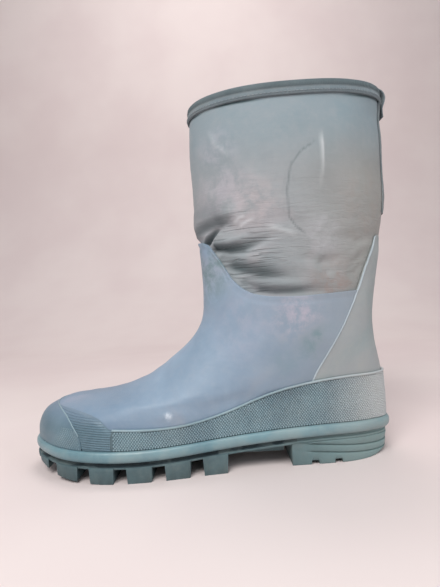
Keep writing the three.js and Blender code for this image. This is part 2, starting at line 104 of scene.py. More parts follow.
# A smooth curve through evenly spaced values
def through(values, u):
    u = np.asarray(u, float)
    last = len(values) - 1
    i = np.clip(np.floor(u).astype(int), 0, last - 1)
    s = u - i
    a, b, c, d = (values[np.clip(i + k, 0, last)] for k in (-1, 0, 1, 2))
    return b + 0.5 * s * (c - a + s * (2 * a - 5 * b + 4 * c - d + s * (3 * (b - c) + d - a)))


def smooth(low, high, value):
    t = np.clip((value - low) / (high - low), 0, 1)
    return t * t * (3 - 2 * t)


# turn goes from the heel's back (0) past the outer side (0.25) to the toe (0.5) and the inner side (0.75)
def masterPoint(step, turn):
    step, turn = np.broadcast_arrays(np.asarray(step, float), np.asarray(turn, float))
    angle = 2 * math.pi * turn
    along = (1 - np.cos(angle)) / 2
    sine = np.sin(angle)
    oval = np.clip(through(ovals, step), 0, 1)
    foot = np.where(sine >= 0, through(outerShape, along * 10), through(innerShape, along * 10))
    bulge = np.abs(sine) * (foot + (1 - foot) * oval)
    shift = (1 - oval) * toeShift * smooth(0.55, 1, along)
    bx, bz = through(backX, step), through(backZ, step)
    x = bx + (through(frontX, step) - bx) * along
    y = -np.sign(sine) * bulge * through(halves, step) + shift
    z = bz + (through(frontZ, step) - bz) * along
    return np.stack([x, y, z], -1)


stepNudge, turnNudge = 0.02, 0.002


def normalAt(step, turn):
    step = np.asarray(step, float)
    higher, lower = np.minimum(step + stepNudge, topStep), np.maximum(step - stepNudge, 0)
    up = masterPoint(higher, turn) - masterPoint(lower, turn)
    around = masterPoint(step, turn + turnNudge) - masterPoint(step, turn - turnNudge)
    normal = np.cross(up, around)
    return normal / np.linalg.norm(normal, axis=-1, keepdims=True)


def surfacePoint(step, turn, depth):
    step, turn = np.broadcast_arrays(np.asarray(step, float), np.asarray(turn, float))
    return masterPoint(step, turn) - normalAt(step, turn) * np.asarray(depth, float)[..., None]


# Columns run up the surface at a fixed turn each, or at the turn that a function gives for each step
def turnsAt(columns, step):
    return columns(step) if callable(columns) else columns


# The step at which each column, at a depth, first passes a test of its side view
def crossing(columns, depth, test):
    shape = np.shape(turnsAt(columns, 1.0))
    low, high = np.zeros(shape), np.full(shape, float(topStep))
    for _ in range(24):
        middle = (low + high) / 2
        p = surfacePoint(middle, turnsAt(columns, middle), np.zeros(shape) + depth)
        under = test(p[..., 0], p[..., 2]) < 0
        low, high = np.where(under, middle, low), np.where(under, high, middle)
    return (low + high) / 2


def lineThrough(points, swap=False):
    pts = np.array(points, float)
    keys, values = (pts[:, 1], pts[:, 0]) if swap else (pts[:, 0], pts[:, 1])

    def line(at):
        at = np.clip(at, keys[0], keys[-1])
        i = np.clip(np.searchsorted(keys, at, side="right") - 1, 0, len(keys) - 2)
        return through(values, i + (at - keys[i]) / (keys[i + 1] - keys[i]))

    return line


# Lines of the side view: height over x, or x over height where they stand steep
soleLine = lineThrough([(-152, 16.6), (-120, 16.2), (-82, 15), (-45, 14.8), (-8, 16.6), (30, 19.4),
                        (69, 21.8), (101, 22.9), (130, 22), (152, 19.6)])
foxingLine = lineThrough([(-74, 39.6), (-60, 38.8), (-40, 38.2), (-20, 39), (0, 42.5), (20, 48.3), (40, 55.3),
                          (60, 61), (82, 65), (108, 67.2), (138, 66.8), (152, 66.3)])
wingLine = lineThrough([(-121, 53.4), (-108, 53.4), (-95, 51.6), (-84, 47.5), (-74, 39.6)])
capLine = lineThrough([(-97, 26), (-98.6, 34), (-105.5, 44), (-111, 48.6), (-121, 52.4), (-133, 55.5),
                       (-139, 60)], True)
counterLine = lineThrough([(66, 10), (72, 30), (78, 52), (82, 67), (95, 89), (107.7, 109), (119.6, 132.5),
                           (126, 146.3), (130, 154.3), (140, 174.4), (145, 183), (152, 189.5),
                           (170, 200)], True)
scoopLine = lineThrough([(-14, 181), (-4, 180), (4, 176), (10, 167.5), (15.5, 158.7), (22.4, 147),
                         (30, 139.5), (38, 135.2), (50, 132.6), (72, 131.7), (96, 132.6), (118.6, 133.6),
                         (150, 134)])
topLine = lineThrough([(-10, 291), (20, 290), (75, 289.6), (120, 292.4), (157, 296)])
beadHeight = 9


def beadLine(x):
    return soleLine(x) + beadHeight


def above(line, lift=0.0):
    return lambda x, z: z - line(x) - lift


def pastCounter(x, z):
    return counterLine(z) - x


def pastCap(x, z):
    return x - capLine(z)


# Depths from the master surface, inwards, shared by the pieces that lie on each other
overlayOuter, overlayInner = -1.7, -0.3
rubberWall = 2.0
neopreneOuter, neopreneInner = 2.3, 5.8
liningOuter, liningInner = 6.1, 7.3


def toFrame(points):
    return (np.asarray(points, float) + [originX, originY, 0]) / 1000


def linked(name, data):
    obj = bpy.data.objects.new(name, data)
    bpy.context.scene.collection.objects.link(obj)
    return obj


def meshObject(name, points, faces, material, flat=False):
    mesh = bpy.data.meshes.new(name)
    mesh.from_pydata(toFrame(points).tolist(), [], faces)
    mesh.materials.append(material)
    if not flat:
        mesh.shade_smooth()
    return linked(name, mesh)


# Four-sided faces over rows of points: ring closes each row and loop joins the last row to the first
def gridFaces(rows, count, ring, loop):
    r = np.arange(rows if loop else rows - 1)
    c = np.arange(count if ring else count - 1)
    r, c = np.meshgrid(r, c, indexing="ij")
    r2, c2 = (r + 1) % rows, (c + 1) % count
    quads = np.stack([r * count + c, r * count + c2, r2 * count + c2, r2 * count + c], -1)
    return quads.reshape(-1, 4)[:, ::-1].tolist()


# A wall whose cross-section at each column is a closed loop of (step, depth) rows, outside first going up
def wallObject(name, columns, rows, material, ring=True):
    grid = np.array([surfacePoint(step, turnsAt(columns, step), depth) for step, depth in rows])
    count = grid.shape[1]
    faces = gridFaces(len(rows), count, ring, True)
    if not ring:
        faces.append([r * count for r in range(len(rows))])
        faces.append([r * count + count - 1 for r in reversed(range(len(rows)))])
    obj = meshObject(name, grid.reshape(-1, 3), faces, material)
    if not ring:
        obj.data.set_sharp_from_angle(angle=math.radians(55))
    return obj


def even(count):
    return np.linspace(0, 1, count)


def depthUnder(bump, columns, step, depth):
    turn = turnsAt(columns, step)
    return depth - bump(step, turn, masterPoint(step, turn)) if bump else depth


# The rows of a wall between two steps of each column, with its rim rounded: spread has the outer rows' shares
# of the height, and the outside is moved by bump and the inside by backBump
def wallRows(columns, low, high, outer, inner, spread, bump=None, backs=6, rim=0.5, backBump=None):
    ends = [masterPoint(step, turnsAt(columns, step)) for step in (low, np.minimum(high, topStep))]
    share = np.minimum(rim / np.maximum(np.linalg.norm(ends[1] - ends[0], axis=-1), 1e-3), 0.3)

    def depthAt(step, depth, bumped):
        return depthUnder(bumped, columns, step, depth)

    bottom, top = depthAt(low, outer, bump), depthAt(high, outer, bump)
    bottomIn, topIn = depthAt(low, inner, backBump), depthAt(high, inner, backBump)
    rows = [(low, bottomIn), (low, (bottomIn + bottom) / 2), (low, bottom + rim * 0.6)]
    for k in spread:
        step = low + (high - low) * (share + (1 - 2 * share) * k)
        rows.append((step, depthAt(step, outer, bump)))
    rows += [(high, top + rim * 0.6), (high, (topIn + top) / 2), (high, topIn)]
    for k in np.linspace(1, 0, backs + 2)[1:-1]:
        step = low + (high - low) * k
        rows.append((step, depthAt(step, inner, backBump)))
    return rows


# A solid from rings of points one above the other, with flat ends
def solidObject(name, rings, material):
    count = len(rings[0])
    points = np.concatenate(rings)
    faces = gridFaces(len(rings), count, True, False)
    for base, upwards in ((0, False), ((len(rings) - 1) * count, True)):
        for i in range(count // 2):
            corners = [base + i, base + i + 1, base + count - i - 1, base + (count - i) % count]
            corners = list(dict.fromkeys(corners))  # the first and last strips are triangles
            faces.append(corners[::-1] if upwards else corners)
    return meshObject(name, points, faces, material)


# A ring round the boot at a depth, as seen at the bead, with its height given by a line of the side view
def ringAt(turns, depth, line):
    step = crossing(turns, depth, above(beadLine))
    p = surfacePoint(step, turns, depth)
    p[:, 2] = line(p[:, 0])
    return p


# The length passed at each point of a line
def runAlong(line):
    return np.concatenate([[0], np.cumsum(np.linalg.norm(np.diff(line, axis=0), axis=1))])


def srgb(*levels):
    shares = [level / 255 for level in levels]
    return tuple(c / 12.92 if c <= 0.04045 else ((c + 0.055) / 1.055) ** 2.4 for c in shares) + (1,)


class Nodes:
    def __init__(self, tree):
        self.tree = tree

    def add(self, kind, values=None, **options):
        node = self.tree.nodes.new(kind)
        for key, value in options.items():
            setattr(node, key, value)
        for key, value in (values or {}).items():
            if isinstance(value, bpy.types.NodeSocket):
                self.tree.links.new(value, node.inputs[key])
            else:
                node.inputs[key].default_value = value
        return node

    def place(self, scale=None):
        spot = self.add("ShaderNodeTexCoord").outputs["Object"]
        if scale is None:
            return spot
        return self.add("ShaderNodeVectorMath", {0: spot, "Scale": scale}, operation="SCALE").outputs[0]

    def away(self, place, centre):
        return self.add("ShaderNodeVectorMath", {0: place, 1: centre}, operation="DISTANCE").outputs["Value"]

    def bump(self, height, distance, strength, under=None):
        values = {"Height": height, "Distance": distance, "Strength": strength}
        if under is not None:
            values["Normal"] = under
        return self.add("ShaderNodeBump", values).outputs[0]

    def math(self, operation, a, b=0.0, clamp=False):
        return self.add("ShaderNodeMath", {0: a, 1: b}, operation=operation, use_clamp=clamp).outputs[0]

    def ramp(self, value, low, high, to0=0.0, to1=1.0):
        values = {"Value": value, "From Min": low, "From Max": high, "To Min": to0, "To Max": to1}
        return self.add("ShaderNodeMapRange", values, interpolation_type="SMOOTHSTEP").outputs[0]

    def mix(self, factor, a, b):
        return self.add("ShaderNodeMix", {"Factor": factor, 6: a, 7: b}, data_type="RGBA").outputs[2]

    def noise(self, vector, scale, detail=3.0, roughness=0.55, distortion=0.0):
        return self.add("ShaderNodeTexNoise", {"Vector": vector, "Scale": scale, "Detail": detail,
                                               "Roughness": roughness, "Distortion": distortion}).outputs[0]


def shaderGroup(name, inputs, outputs):
    tree = bpy.data.node_groups.new(name, "ShaderNodeTree")
    for label, value in inputs:
        tree.interface.new_socket(label, in_out="INPUT", socket_type="NodeSocketFloat").default_value = value
    for label in outputs:
        tree.interface.new_socket(label, in_out="OUTPUT", socket_type="NodeSocketFloat")
    n = Nodes(tree)
    return tree, n, n.add("NodeGroupInput").outputs, n.add("NodeGroupOutput").inputs


# Dust: blotches at two sizes, thicker in hollows and towards the ground
def dustGroup():
    inputs = [("Amount", 0.5), ("Scale", 1.0), ("Ground", 0.0)]
    tree, n, given, out = shaderGroup("dustMask", inputs, ["Mask"])
    sized = n.place(given["Scale"])
    big = n.ramp(n.noise(sized, 14.0, 4.0, 0.6, 0.6), 0.42, 0.72)
    small = n.ramp(n.noise(sized, 160.0, 4.0, 0.7), 0.4, 0.75)
    hollow = n.ramp(n.add("ShaderNodeNewGeometry").outputs["Pointiness"], 0.5, 0.44)
    height = n.add("ShaderNodeSeparateXYZ", {0: n.place()}).outputs[2]
    low = n.math("MULTIPLY", n.ramp(height, 0.05, 0.0), given["Ground"])
    blotch = n.math("ADD", n.math("MULTIPLY", small, 0.45), n.math("MULTIPLY", big, 0.6))
    total = n.math("ADD", n.math("ADD", blotch, n.math("MULTIPLY", hollow, 0.5)), low)
    tree.links.new(n.math("MULTIPLY", total, given["Amount"], True), out["Mask"])
    return tree


# Fine grain: pits and rubs as one height
def grainGroup():
    tree, n, given, out = shaderGroup("fineGrain", [("Scale", 1.0)], ["Height"])
    sized = n.place(given["Scale"])
    pits = n.noise(sized, 1400.0, 3.0, 0.7)
    turned = n.add("ShaderNodeMapping", {"Vector": sized, "Rotation": (0.3, 0.5, 0.2),
                                         "Scale": (30.0, 30.0, 400.0)})
    rubs = n.ramp(n.noise(turned.outputs[0], 1.0, 5.0, 0.7, 0.3), 0.55, 0.8)
    tree.links.new(n.math("ADD", pits, n.math("MULTIPLY", rubs, 0.4)), out["Height"])
    return tree


# Woven tape: threads from three waves, one turned an eighth about each axis
def weaveGroup():
    tree, n, given, out = shaderGroup("wovenTape", [("Pitch", 1.0)], ["Height"])
    place = n.place()
    waves = []
    eighth = 0.785
    for spin in ((0.0, 0.0, eighth), (eighth, 0.0, 0.0), (0.0, eighth, 0.0)):
        mapped = n.add("ShaderNodeMapping", {"Vector": place, "Rotation": spin}).outputs[0]
        sized = n.add("ShaderNodeVectorMath", {0: mapped, "Scale": given["Pitch"]},
                      operation="SCALE").outputs[0]
        waves.append(n.add("ShaderNodeTexWave", {"Vector": sized, "Scale": 190.0, "Distortion": 0.6,
                                                 "Detail": 1.0}).outputs["Fac"])
    total = n.math("ADD", n.math("ADD", waves[0], waves[1]), waves[2])
    tree.links.new(n.math("MULTIPLY", total, 0.34), out["Height"])
    return tree


groups = {"dust": dustGroup(), "grain": grainGroup(), "weave": weaveGroup()}


def useGroup(n, key, **values):
    node = n.add("ShaderNodeGroup", node_tree=groups[key])
    for label, value in values.items():
        node.inputs[label].default_value = value
    return node.outputs[0]


dusty = (172, 170, 162)
usualLook = {"mottleScale": 24.0, "tintScale": 9.0, "backFrom": 0.02, "dustColour": dusty, "dustScale": 1.0,
             "ground": 0.0, "grainScale": 1.0, "grainStrength": 0.5, "specular": 0.5, "sheen": 0.0}
grainDepth, threadDepth = 0.00008, 0.0003  # metres


# Paint over a surface: mottling, a tint in clouds, the colours of its ends, dust, and smudges of stain, one
# of which, on the vamp, is a painted highlight instead
def paintedColour(n, look, place, dust):
    x, _, z = n.add("ShaderNodeSeparateXYZ", {0: place}).outputs
    mottle = n.ramp(n.noise(place, look["mottleScale"], 5.0, 0.62, 0.4), 0.3, 0.72)
    colour = n.mix(mottle, srgb(*look["dark"]), srgb(*look["light"]))
    if "tint" in look:
        cloud = n.ramp(n.noise(place, look["tintScale"], 3.0, 0.5, 0.8), 0.48, 0.62, 0.0, look["tintShare"])
        colour = n.mix(cloud, colour, srgb(*look["tint"]))
    if "back" in look:
        backward = n.math("MULTIPLY", n.ramp(x, look["backFrom"], 0.14), 0.8)
        colour = n.mix(backward, colour, srgb(*look["back"]))
    if "upper" in look:
        colour = n.mix(n.ramp(z, look["upperFrom"], look["upperTo"]), colour, srgb(*look["upper"]))
    if "front" in look:
        forward = n.ramp(x, look["frontFrom"], look["frontTo"], 0.0, look["frontShare"])
        colour = n.mix(forward, colour, srgb(*look["front"]))
    if "weave" in look:
        gaps = n.ramp(useGroup(n, "weave", Pitch=look["weave"]), 0.3, 0.75, 1.0, 0.0)
        colour = n.mix(n.math("MULTIPLY", gaps, 0.45), colour, srgb(*look["shade"]))
    colour = n.mix(dust, colour, srgb(*look["dustColour"]))
    for centre, radius, share, markColour in look.get("smudges", ()):
        streaks = n.ramp(n.noise(place, 70.0, 6.0, 0.7, 0.25), 0.38, 0.66)
        patch = n.ramp(n.away(place, centre), radius, radius * 0.2, 0.0, share)
        colour = n.mix(n.math("MULTIPLY", patch, streaks), colour, srgb(*markColour))
    return colour


# Creases close together round one place of the soft shaft
def creaseMask(n, look, place):
    turned = n.add("ShaderNodeMapping", {"Vector": place, "Rotation": (0.0, 0.3, 0.0),
                                         "Scale": (22.0, 22.0, 330.0)}).outputs[0]
    lines = n.ramp(n.noise(turned, 1.0, 2.0, 0.5, 0.7), 0.5, 0.36)
    return n.math("MULTIPLY", lines, n.ramp(n.away(place, look["creased"]), 0.044, 0.014))


# Folded neoprene gets painted shade in its folds, under its collar and in its creases, and painted highlights
# on its crests
def foldedColour(n, look, colour, creases):
    paintedShade, paintedHighlight = (n.add("ShaderNodeAttribute", attribute_name=label).outputs["Fac"]
                   for label in ("paintedShade", "paintedHighlight"))
    colour = n.mix(n.ramp(paintedShade, 0.05, 1.0, 0.0, look["paintedShadeShare"]), colour, srgb(*look["paintedShade"]))
    # painted highlights on the crests and along the glare streak
    colour = n.mix(paintedHighlight, colour, srgb(*look["paintedHighlight"]))
    # painted shade in the creases
    return n.mix(n.math("MULTIPLY", creases, look["creaseShare"]), colour, srgb(*look["paintedShade"]))


# Long fine wrinkles that fade out up the shaft, with the creases sunk below them
def wrinkledBump(n, look, place, creases, under):
    height = n.add("ShaderNodeSeparateXYZ", {0: place}).outputs[2]
    stretched = n.add("ShaderNodeMapping", {"Vector": place, "Scale": (48.0, 48.0, 230.0)}).outputs[0]
    fading = n.ramp(height, 0.245, 0.175, 0.12, 1.0)
    wrinkles = n.math("MULTIPLY", n.noise(stretched, 1.0, 4.0, 0.55, 0.6), fading)
    wrinkled = n.bump(wrinkles, look["wrinkleDepth"], 1.0, under)
    return n.bump(n.math("MULTIPLY", creases, -1.0), look["creaseDepth"], 1.0, wrinkled)


def surfaceMaterial(name, given):
    look = {**usualLook, **given}
    material = bpy.data.materials.new(name)
    material.use_nodes = True
    n = Nodes(material.node_tree)
    shader = material.node_tree.nodes["Principled BSDF"]
    place = n.place()
    dust = useGroup(n, "dust", Amount=look["dust"], Scale=look["dustScale"], Ground=look["ground"])
    grain = useGroup(n, "grain", Scale=look["grainScale"])
    colour = paintedColour(n, look, place, dust)
    normal = n.bump(grain, grainDepth, look["grainStrength"])
    if "paintedShade" in look:
        creases = creaseMask(n, look, place)
        colour = foldedColour(n, look, colour, creases)
        normal = wrinkledBump(n, look, place, creases, normal)
    if "weave" in look:
        normal = n.bump(useGroup(n, "weave", Pitch=look["weave"]), threadDepth, 0.8, normal)
    gloss = n.ramp(grain, 0.3, 0.9, look["roughness"][0], look["roughness"][1])
    rough = n.math("ADD", gloss, n.math("MULTIPLY", dust, 0.25), True)
    for socket, value in (("Base Color", colour), ("Roughness", rough), ("Normal", normal)):
        material.node_tree.links.new(value, shader.inputs[socket])
    for socket, value in (("Specular IOR Level", look["specular"]), ("Sheen Weight", look["sheen"]),
                          ("Sheen Roughness", 0.5)):
        shader.inputs[socket].default_value = value
    return material


# Colours are as a screen shows them, 0 to 255; places, radii and ranges are in metres
looks = {
    "vamp": {"dark": (127, 147, 166), "light": (145, 165, 184), "back": (144, 152, 158), "backFrom": 0.0,
             "front": (106, 128, 149), "frontFrom": -0.02, "frontTo": -0.085, "frontShare": 0.58,
             "smudges": [((0.066, -0.048, 0.114), 0.03, 0.85, (178, 172, 184)),
                         ((0.086, -0.046, 0.092), 0.018, 0.55, (186, 184, 190)),
                         ((0.020, -0.045, 0.110), 0.04, 0.3, (172, 170, 186)),
                         ((0.080, -0.045, 0.096), 0.022, 0.9, (112, 138, 144)),
                         ((0.060, -0.045, 0.085), 0.03, 0.5, (126, 148, 158)),
                         ((-0.010, -0.020, 0.165), 0.05, 0.95, (104, 130, 130)),
                         ((-0.012, -0.014, 0.181), 0.011, 0.9, (184, 192, 204)),
                         ((-0.120, -0.010, 0.062), 0.02, 0.3, (160, 160, 178)),
                         # a painted highlight on the knuckle of the little toe
                         ((-0.0365, -0.0495, 0.0465), 0.0055, 0.9, (222, 232, 240))],
             "tint": (158, 162, 172), "tintShare": 0.45, "tintScale": 14.0, "dust": 0.28,
             "dustColour": (166, 168, 174), "roughness": (0.42, 0.62), "specular": 0.4, "mottleScale": 16.0},
    "foxingRim": {"dark": (118, 142, 150), "light": (138, 162, 170), "back": (186, 190, 190),
                  "dust": 0.25, "dustColour": dusty, "roughness": (0.4, 0.56)},
    "piping": {"dark": (156, 168, 174), "light": (176, 188, 194), "dust": 0.2, "dustColour": dusty,
               "roughness": (0.45, 0.6), "specular": 0.35},
    "counter": {"dark": (146, 158, 160), "light": (164, 174, 174), "tint": (166, 164, 166), "tintShare": 0.4,
                "dust": 0.35, "dustColour": dusty, "roughness": (0.5, 0.7), "specular": 0.35},
    "foxing": {"dark": (70, 92, 100), "light": (88, 112, 120), "back": (174, 177, 176), "backFrom": 0.07,
               "dust": 0.25, "dustColour": (132, 136, 134), "roughness": (0.5, 0.7)},
    "foxingTip": {"dark": (124, 146, 156), "light": (144, 168, 176), "back": (199, 200, 199),
                  "backFrom": 0.07, "dust": 0.25, "dustColour": dusty, "roughness": (0.42, 0.6)},
    "toe": {"dark": (83, 109, 121), "light": (100, 128, 141), "upper": (112, 131, 150), "upperFrom": 0.036,
            "upperTo": 0.058, "dust": 0.2, "dustColour": (150, 156, 158), "roughness": (0.38, 0.56)},
    "bead": {"dark": (97, 130, 140), "light": (119, 153, 161), "back": (126, 150, 153), "backFrom": 0.06,
             "tint": (146, 162, 162), "tintShare": 0.3, "tintScale": 26.0, "dust": 0.25, "dustColour": dusty,
             "roughness": (0.32, 0.5)},
    "undercut": {"dark": (30, 44, 50), "light": (44, 60, 66), "tint": (118, 134, 134), "tintShare": 0.5,
                 "tintScale": 40.0, "dust": 0.15, "dustColour": (110, 120, 118), "roughness": (0.6, 0.8)},
    "toeHatch": {"dark": (100, 124, 134), "light": (118, 144, 152), "dust": 0.2, "dustColour": dusty,
                 "roughness": (0.4, 0.58)},
    "sole": {"dark": (58, 82, 88), "light": (78, 106, 112), "back": (138, 166, 166), "backFrom": 0.03,
             "dust": 0.35, "dustColour": (126, 134, 130), "roughness": (0.5, 0.75), "ground": 0.3},
    "neoprene": {"dark": (136, 143, 146), "light": (152, 158, 161), "back": (144, 144, 138),
                 "backFrom": 0.04, "upper": (128, 145, 152), "upperFrom": 0.215, "upperTo": 0.275,
                 # the darkest colour below is painted shade for the folds, the creases and the band under the
                 # collar, and the lightest is a painted highlight for the crests
                 "tint": (166, 160, 164), "tintShare": 0.4, "tintScale": 18.0, "paintedShade": (34, 60, 64),
                 "paintedHighlight": (222, 226, 228), "paintedShadeShare": 0.84,
                 "smudges": [((0.012, -0.042, 0.214), 0.034, 0.5, (180, 174, 182)),
                             ((0.038, -0.046, 0.204), 0.03, 0.5, (182, 172, 174)),
                             ((0.010, -0.038, 0.248), 0.026, 0.45, (172, 172, 182)),
                             ((0.098, -0.046, 0.140), 0.028, 0.8, (147, 130, 124)),
                             ((0.088, -0.046, 0.177), 0.022, 0.5, (178, 178, 184)),
                             ((0.120, -0.03, 0.200), 0.04, 0.3, (150, 136, 128)),
                             ((0.030, -0.045, 0.160), 0.03, 0.4, (132, 146, 150))],
                 "dust": 0.3, "dustColour": (168, 166, 168), "roughness": (0.6, 0.78), "specular": 0.3,
                 "grainScale": 1.4, "grainStrength": 0.35, "sheen": 0.1, "mottleScale": 12.0,
                 "dustScale": 0.9, "wrinkleDepth": 0.0009, "creased": (0.022, -0.042, 0.162),
                 "creaseShare": 0.2, "creaseDepth": 0.0008},
    "lining": {"dark": (42, 46, 46), "light": (58, 62, 62), "dust": 0.2, "dustColour": (90, 88, 84),
               "roughness": (0.85, 1.0), "weave": 1.6, "shade": (24, 26, 26), "specular": 0.2, "sheen": 0.2},
    "webbing": {"dark": (106, 120, 126), "light": (121, 135, 141), "dust": 0.25, "dustColour": dusty,
                "roughness": (0.7, 0.9), "weave": 2.2, "shade": (88, 98, 104), "specular": 0.25,
                "sheen": 0.1},
    # the tape's colour made darker, as painted shade for the roll over the collar's rim
    "rim": {"dark": (88, 102, 106), "light": (106, 120, 124), "dust": 0.2, "dustColour": (136, 140, 140),
            "roughness": (0.65, 0.85), "weave": 2.2, "shade": (66, 76, 80), "specular": 0.25},
    "thread": {"dark": (116, 128, 134), "light": (134, 146, 150), "dust": 0.3, "dustColour": dusty,
               "roughness": (0.6, 0.8)},
    "footbed": {"dark": (66, 70, 70), "light": (84, 88, 88), "dust": 0.4, "dustColour": (110, 104, 96),
                "roughness": (0.8, 0.95), "specular": 0.2},
    "board": {"dark": (120, 104, 82), "light": (148, 130, 104), "dust": 0.2, "dustColour": dusty,
              "roughness": (0.8, 0.95)},
    "steel": {"dark": (120, 122, 126), "light": (150, 152, 156), "dust": 0.1, "dustColour": dusty,
              "roughness": (0.3, 0.5)},
}
materials = {key: surfaceMaterial(key, look) for key, look in looks.items()}
print("materials made:", len(materials))


def geometryTree(name, inputs):
    tree = bpy.data.node_groups.new(name, "GeometryNodeTree")
    tree.interface.new_socket("Geometry", in_out="INPUT", socket_type="NodeSocketGeometry")
    names = {}
    for label, kind in inputs:
        names[label] = tree.interface.new_socket(label, in_out="INPUT", socket_type=kind).identifier
    tree.interface.new_socket("Geometry", in_out="OUTPUT", socket_type="NodeSocketGeometry")
    n = Nodes(tree)
    return tree, names, n, n.add("NodeGroupInput").outputs, n.add("NodeGroupOutput").inputs


# The end of every tree: real geometry, with its material
def closeTree(tree, n, geometry, material, out):
    real = n.add("GeometryNodeRealizeInstances", {0: geometry}).outputs[0]
    painted = n.add("GeometryNodeSetMaterial", {"Geometry": real, "Material": material}).outputs[0]
    tree.links.new(painted, out["Geometry"])


# Copies of one shape on points, turned and sized by each point's own attributes
def scatterTree():
    tree, names, n, given, out = geometryTree("scatterShape", [("Shape", "NodeSocketObject"),
                                                               ("Material", "NodeSocketMaterial")])
    shape = n.add("GeometryNodeObjectInfo", {"Object": given["Shape"]}).outputs["Geometry"]
    tilt, size = (n.add("GeometryNodeInputNamedAttribute", {"Name": label},
                        data_type="FLOAT_VECTOR").outputs[0] for label in ("tilt", "size"))
    turned = n.add("FunctionNodeEulerToRotation", {0: tilt}).outputs[0]
    placed = n.add("GeometryNodeInstanceOnPoints", {"Points": given["Geometry"], "Instance": shape,
                                                    "Rotation": turned, "Scale": size}).outputs[0]
    closeTree(tree, n, placed, given["Material"], out)
    return tree, names


# A round bead along every edge line of a mesh
def beadTree():
    tree, names, n, given, out = geometryTree("beadAlong", [("Radius", "NodeSocketFloat"),
                                                            ("Sides", "NodeSocketInt"),
                                                            ("Material", "NodeSocketMaterial")])
    curve = n.add("GeometryNodeMeshToCurve", {"Mesh": given["Geometry"]}).outputs[0]
    ring = n.add("GeometryNodeCurvePrimitiveCircle", {"Resolution": given["Sides"],
                                                      "Radius": given["Radius"]}, mode="RADIUS").outputs[0]
    tube = n.add("GeometryNodeCurveToMesh", {"Curve": curve, "Profile Curve": ring,
                                             "Fill Caps": True}).outputs[0]
    soft = n.add("GeometryNodeSetShadeSmooth", {"Geometry": tube}).outputs[0]
    closeTree(tree, n, soft, given["Material"], out)
    return tree, names


trees = {"scatter": scatterTree(), "bead": beadTree()}


# The plain mesh that an object's modifiers make
def finishedMesh(obj):
    bpy.context.view_layer.update()
    return bpy.data.meshes.new_from_object(obj.evaluated_get(bpy.context.evaluated_depsgraph_get()))


# A piece made by a tree from a source object, which is used up
def grown(name, source, key, **values):
    tree, names = trees[key]
    modifier = source.modifiers.new(name, "NODES")
    modifier.node_group = tree
    for label, value in values.items():
        modifier[names[label]] = value
    mesh = finishedMesh(source)
    bpy.data.objects.remove(source)
    mesh.name = name
    return linked(name, mesh)


def edgeLines(name, lines):
    points, edges = [], []
    for line in lines:
        start = len(points)
        points += toFrame(line).tolist()
        edges += [(start + i, start + i + 1) for i in range(len(line) - 1)]
    mesh = bpy.data.meshes.new(name)
    mesh.from_pydata(points, edges, [])
    return linked(name, mesh)


def beads(name, lines, radius, material, sides=8):
    return grown(name, edgeLines(name, lines), "bead", Radius=radius / 1000, Sides=sides, Material=material)


# Points carrying a turn and a size: alongs run along the surface and normals stand off it
def scattered(name, points, alongs, normals, sizes, shape, material):
    mesh = bpy.data.meshes.new(name)
    mesh.from_pydata(toFrame(points).tolist(), [], [])
    tilts = []
    for along, normal in zip(alongs, normals):
        z = Vector(normal).normalized()
        x = Vector(along)
        x = (x - z * x.dot(z)).normalized()
        tilts.append(Matrix((x, z.cross(x), z)).transposed().to_euler())
    for label, data in (("tilt", np.array(tilts)), ("size", np.broadcast_to(sizes, (len(points), 3)))):
        mesh.attributes.new(label, "FLOAT_VECTOR", "POINT").data.foreach_set(
            "vector", np.ascontiguousarray(data, np.float32).ravel())
    return grown(name, linked(name, mesh), "scatter", Shape=shape, Material=material)


# A small shape to be copied, at the origin
def templateObject(name, points, faces, soft=True):
    mesh = bpy.data.meshes.new(name)
    mesh.from_pydata((np.array(points) / 1000).tolist(), [], faces)
    if soft:
        mesh.shade_smooth()
    return linked(name, mesh)


ankleStart, ankleEnd = (0.07, 0, 0.15), (0.07, 0, 0.24)  # the stretch that bends, in metres


# A piece that crosses the ankle has its placing baked into its mesh, and any other piece rides on one body
def bends(obj, slot, *nodes):
    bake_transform(obj)
    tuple(ankleStart)
    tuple(ankleEnd)
    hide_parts(*nodes)


def rides(obj, body, slot, *nodes):
    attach(obj, body)
    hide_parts(*nodes)
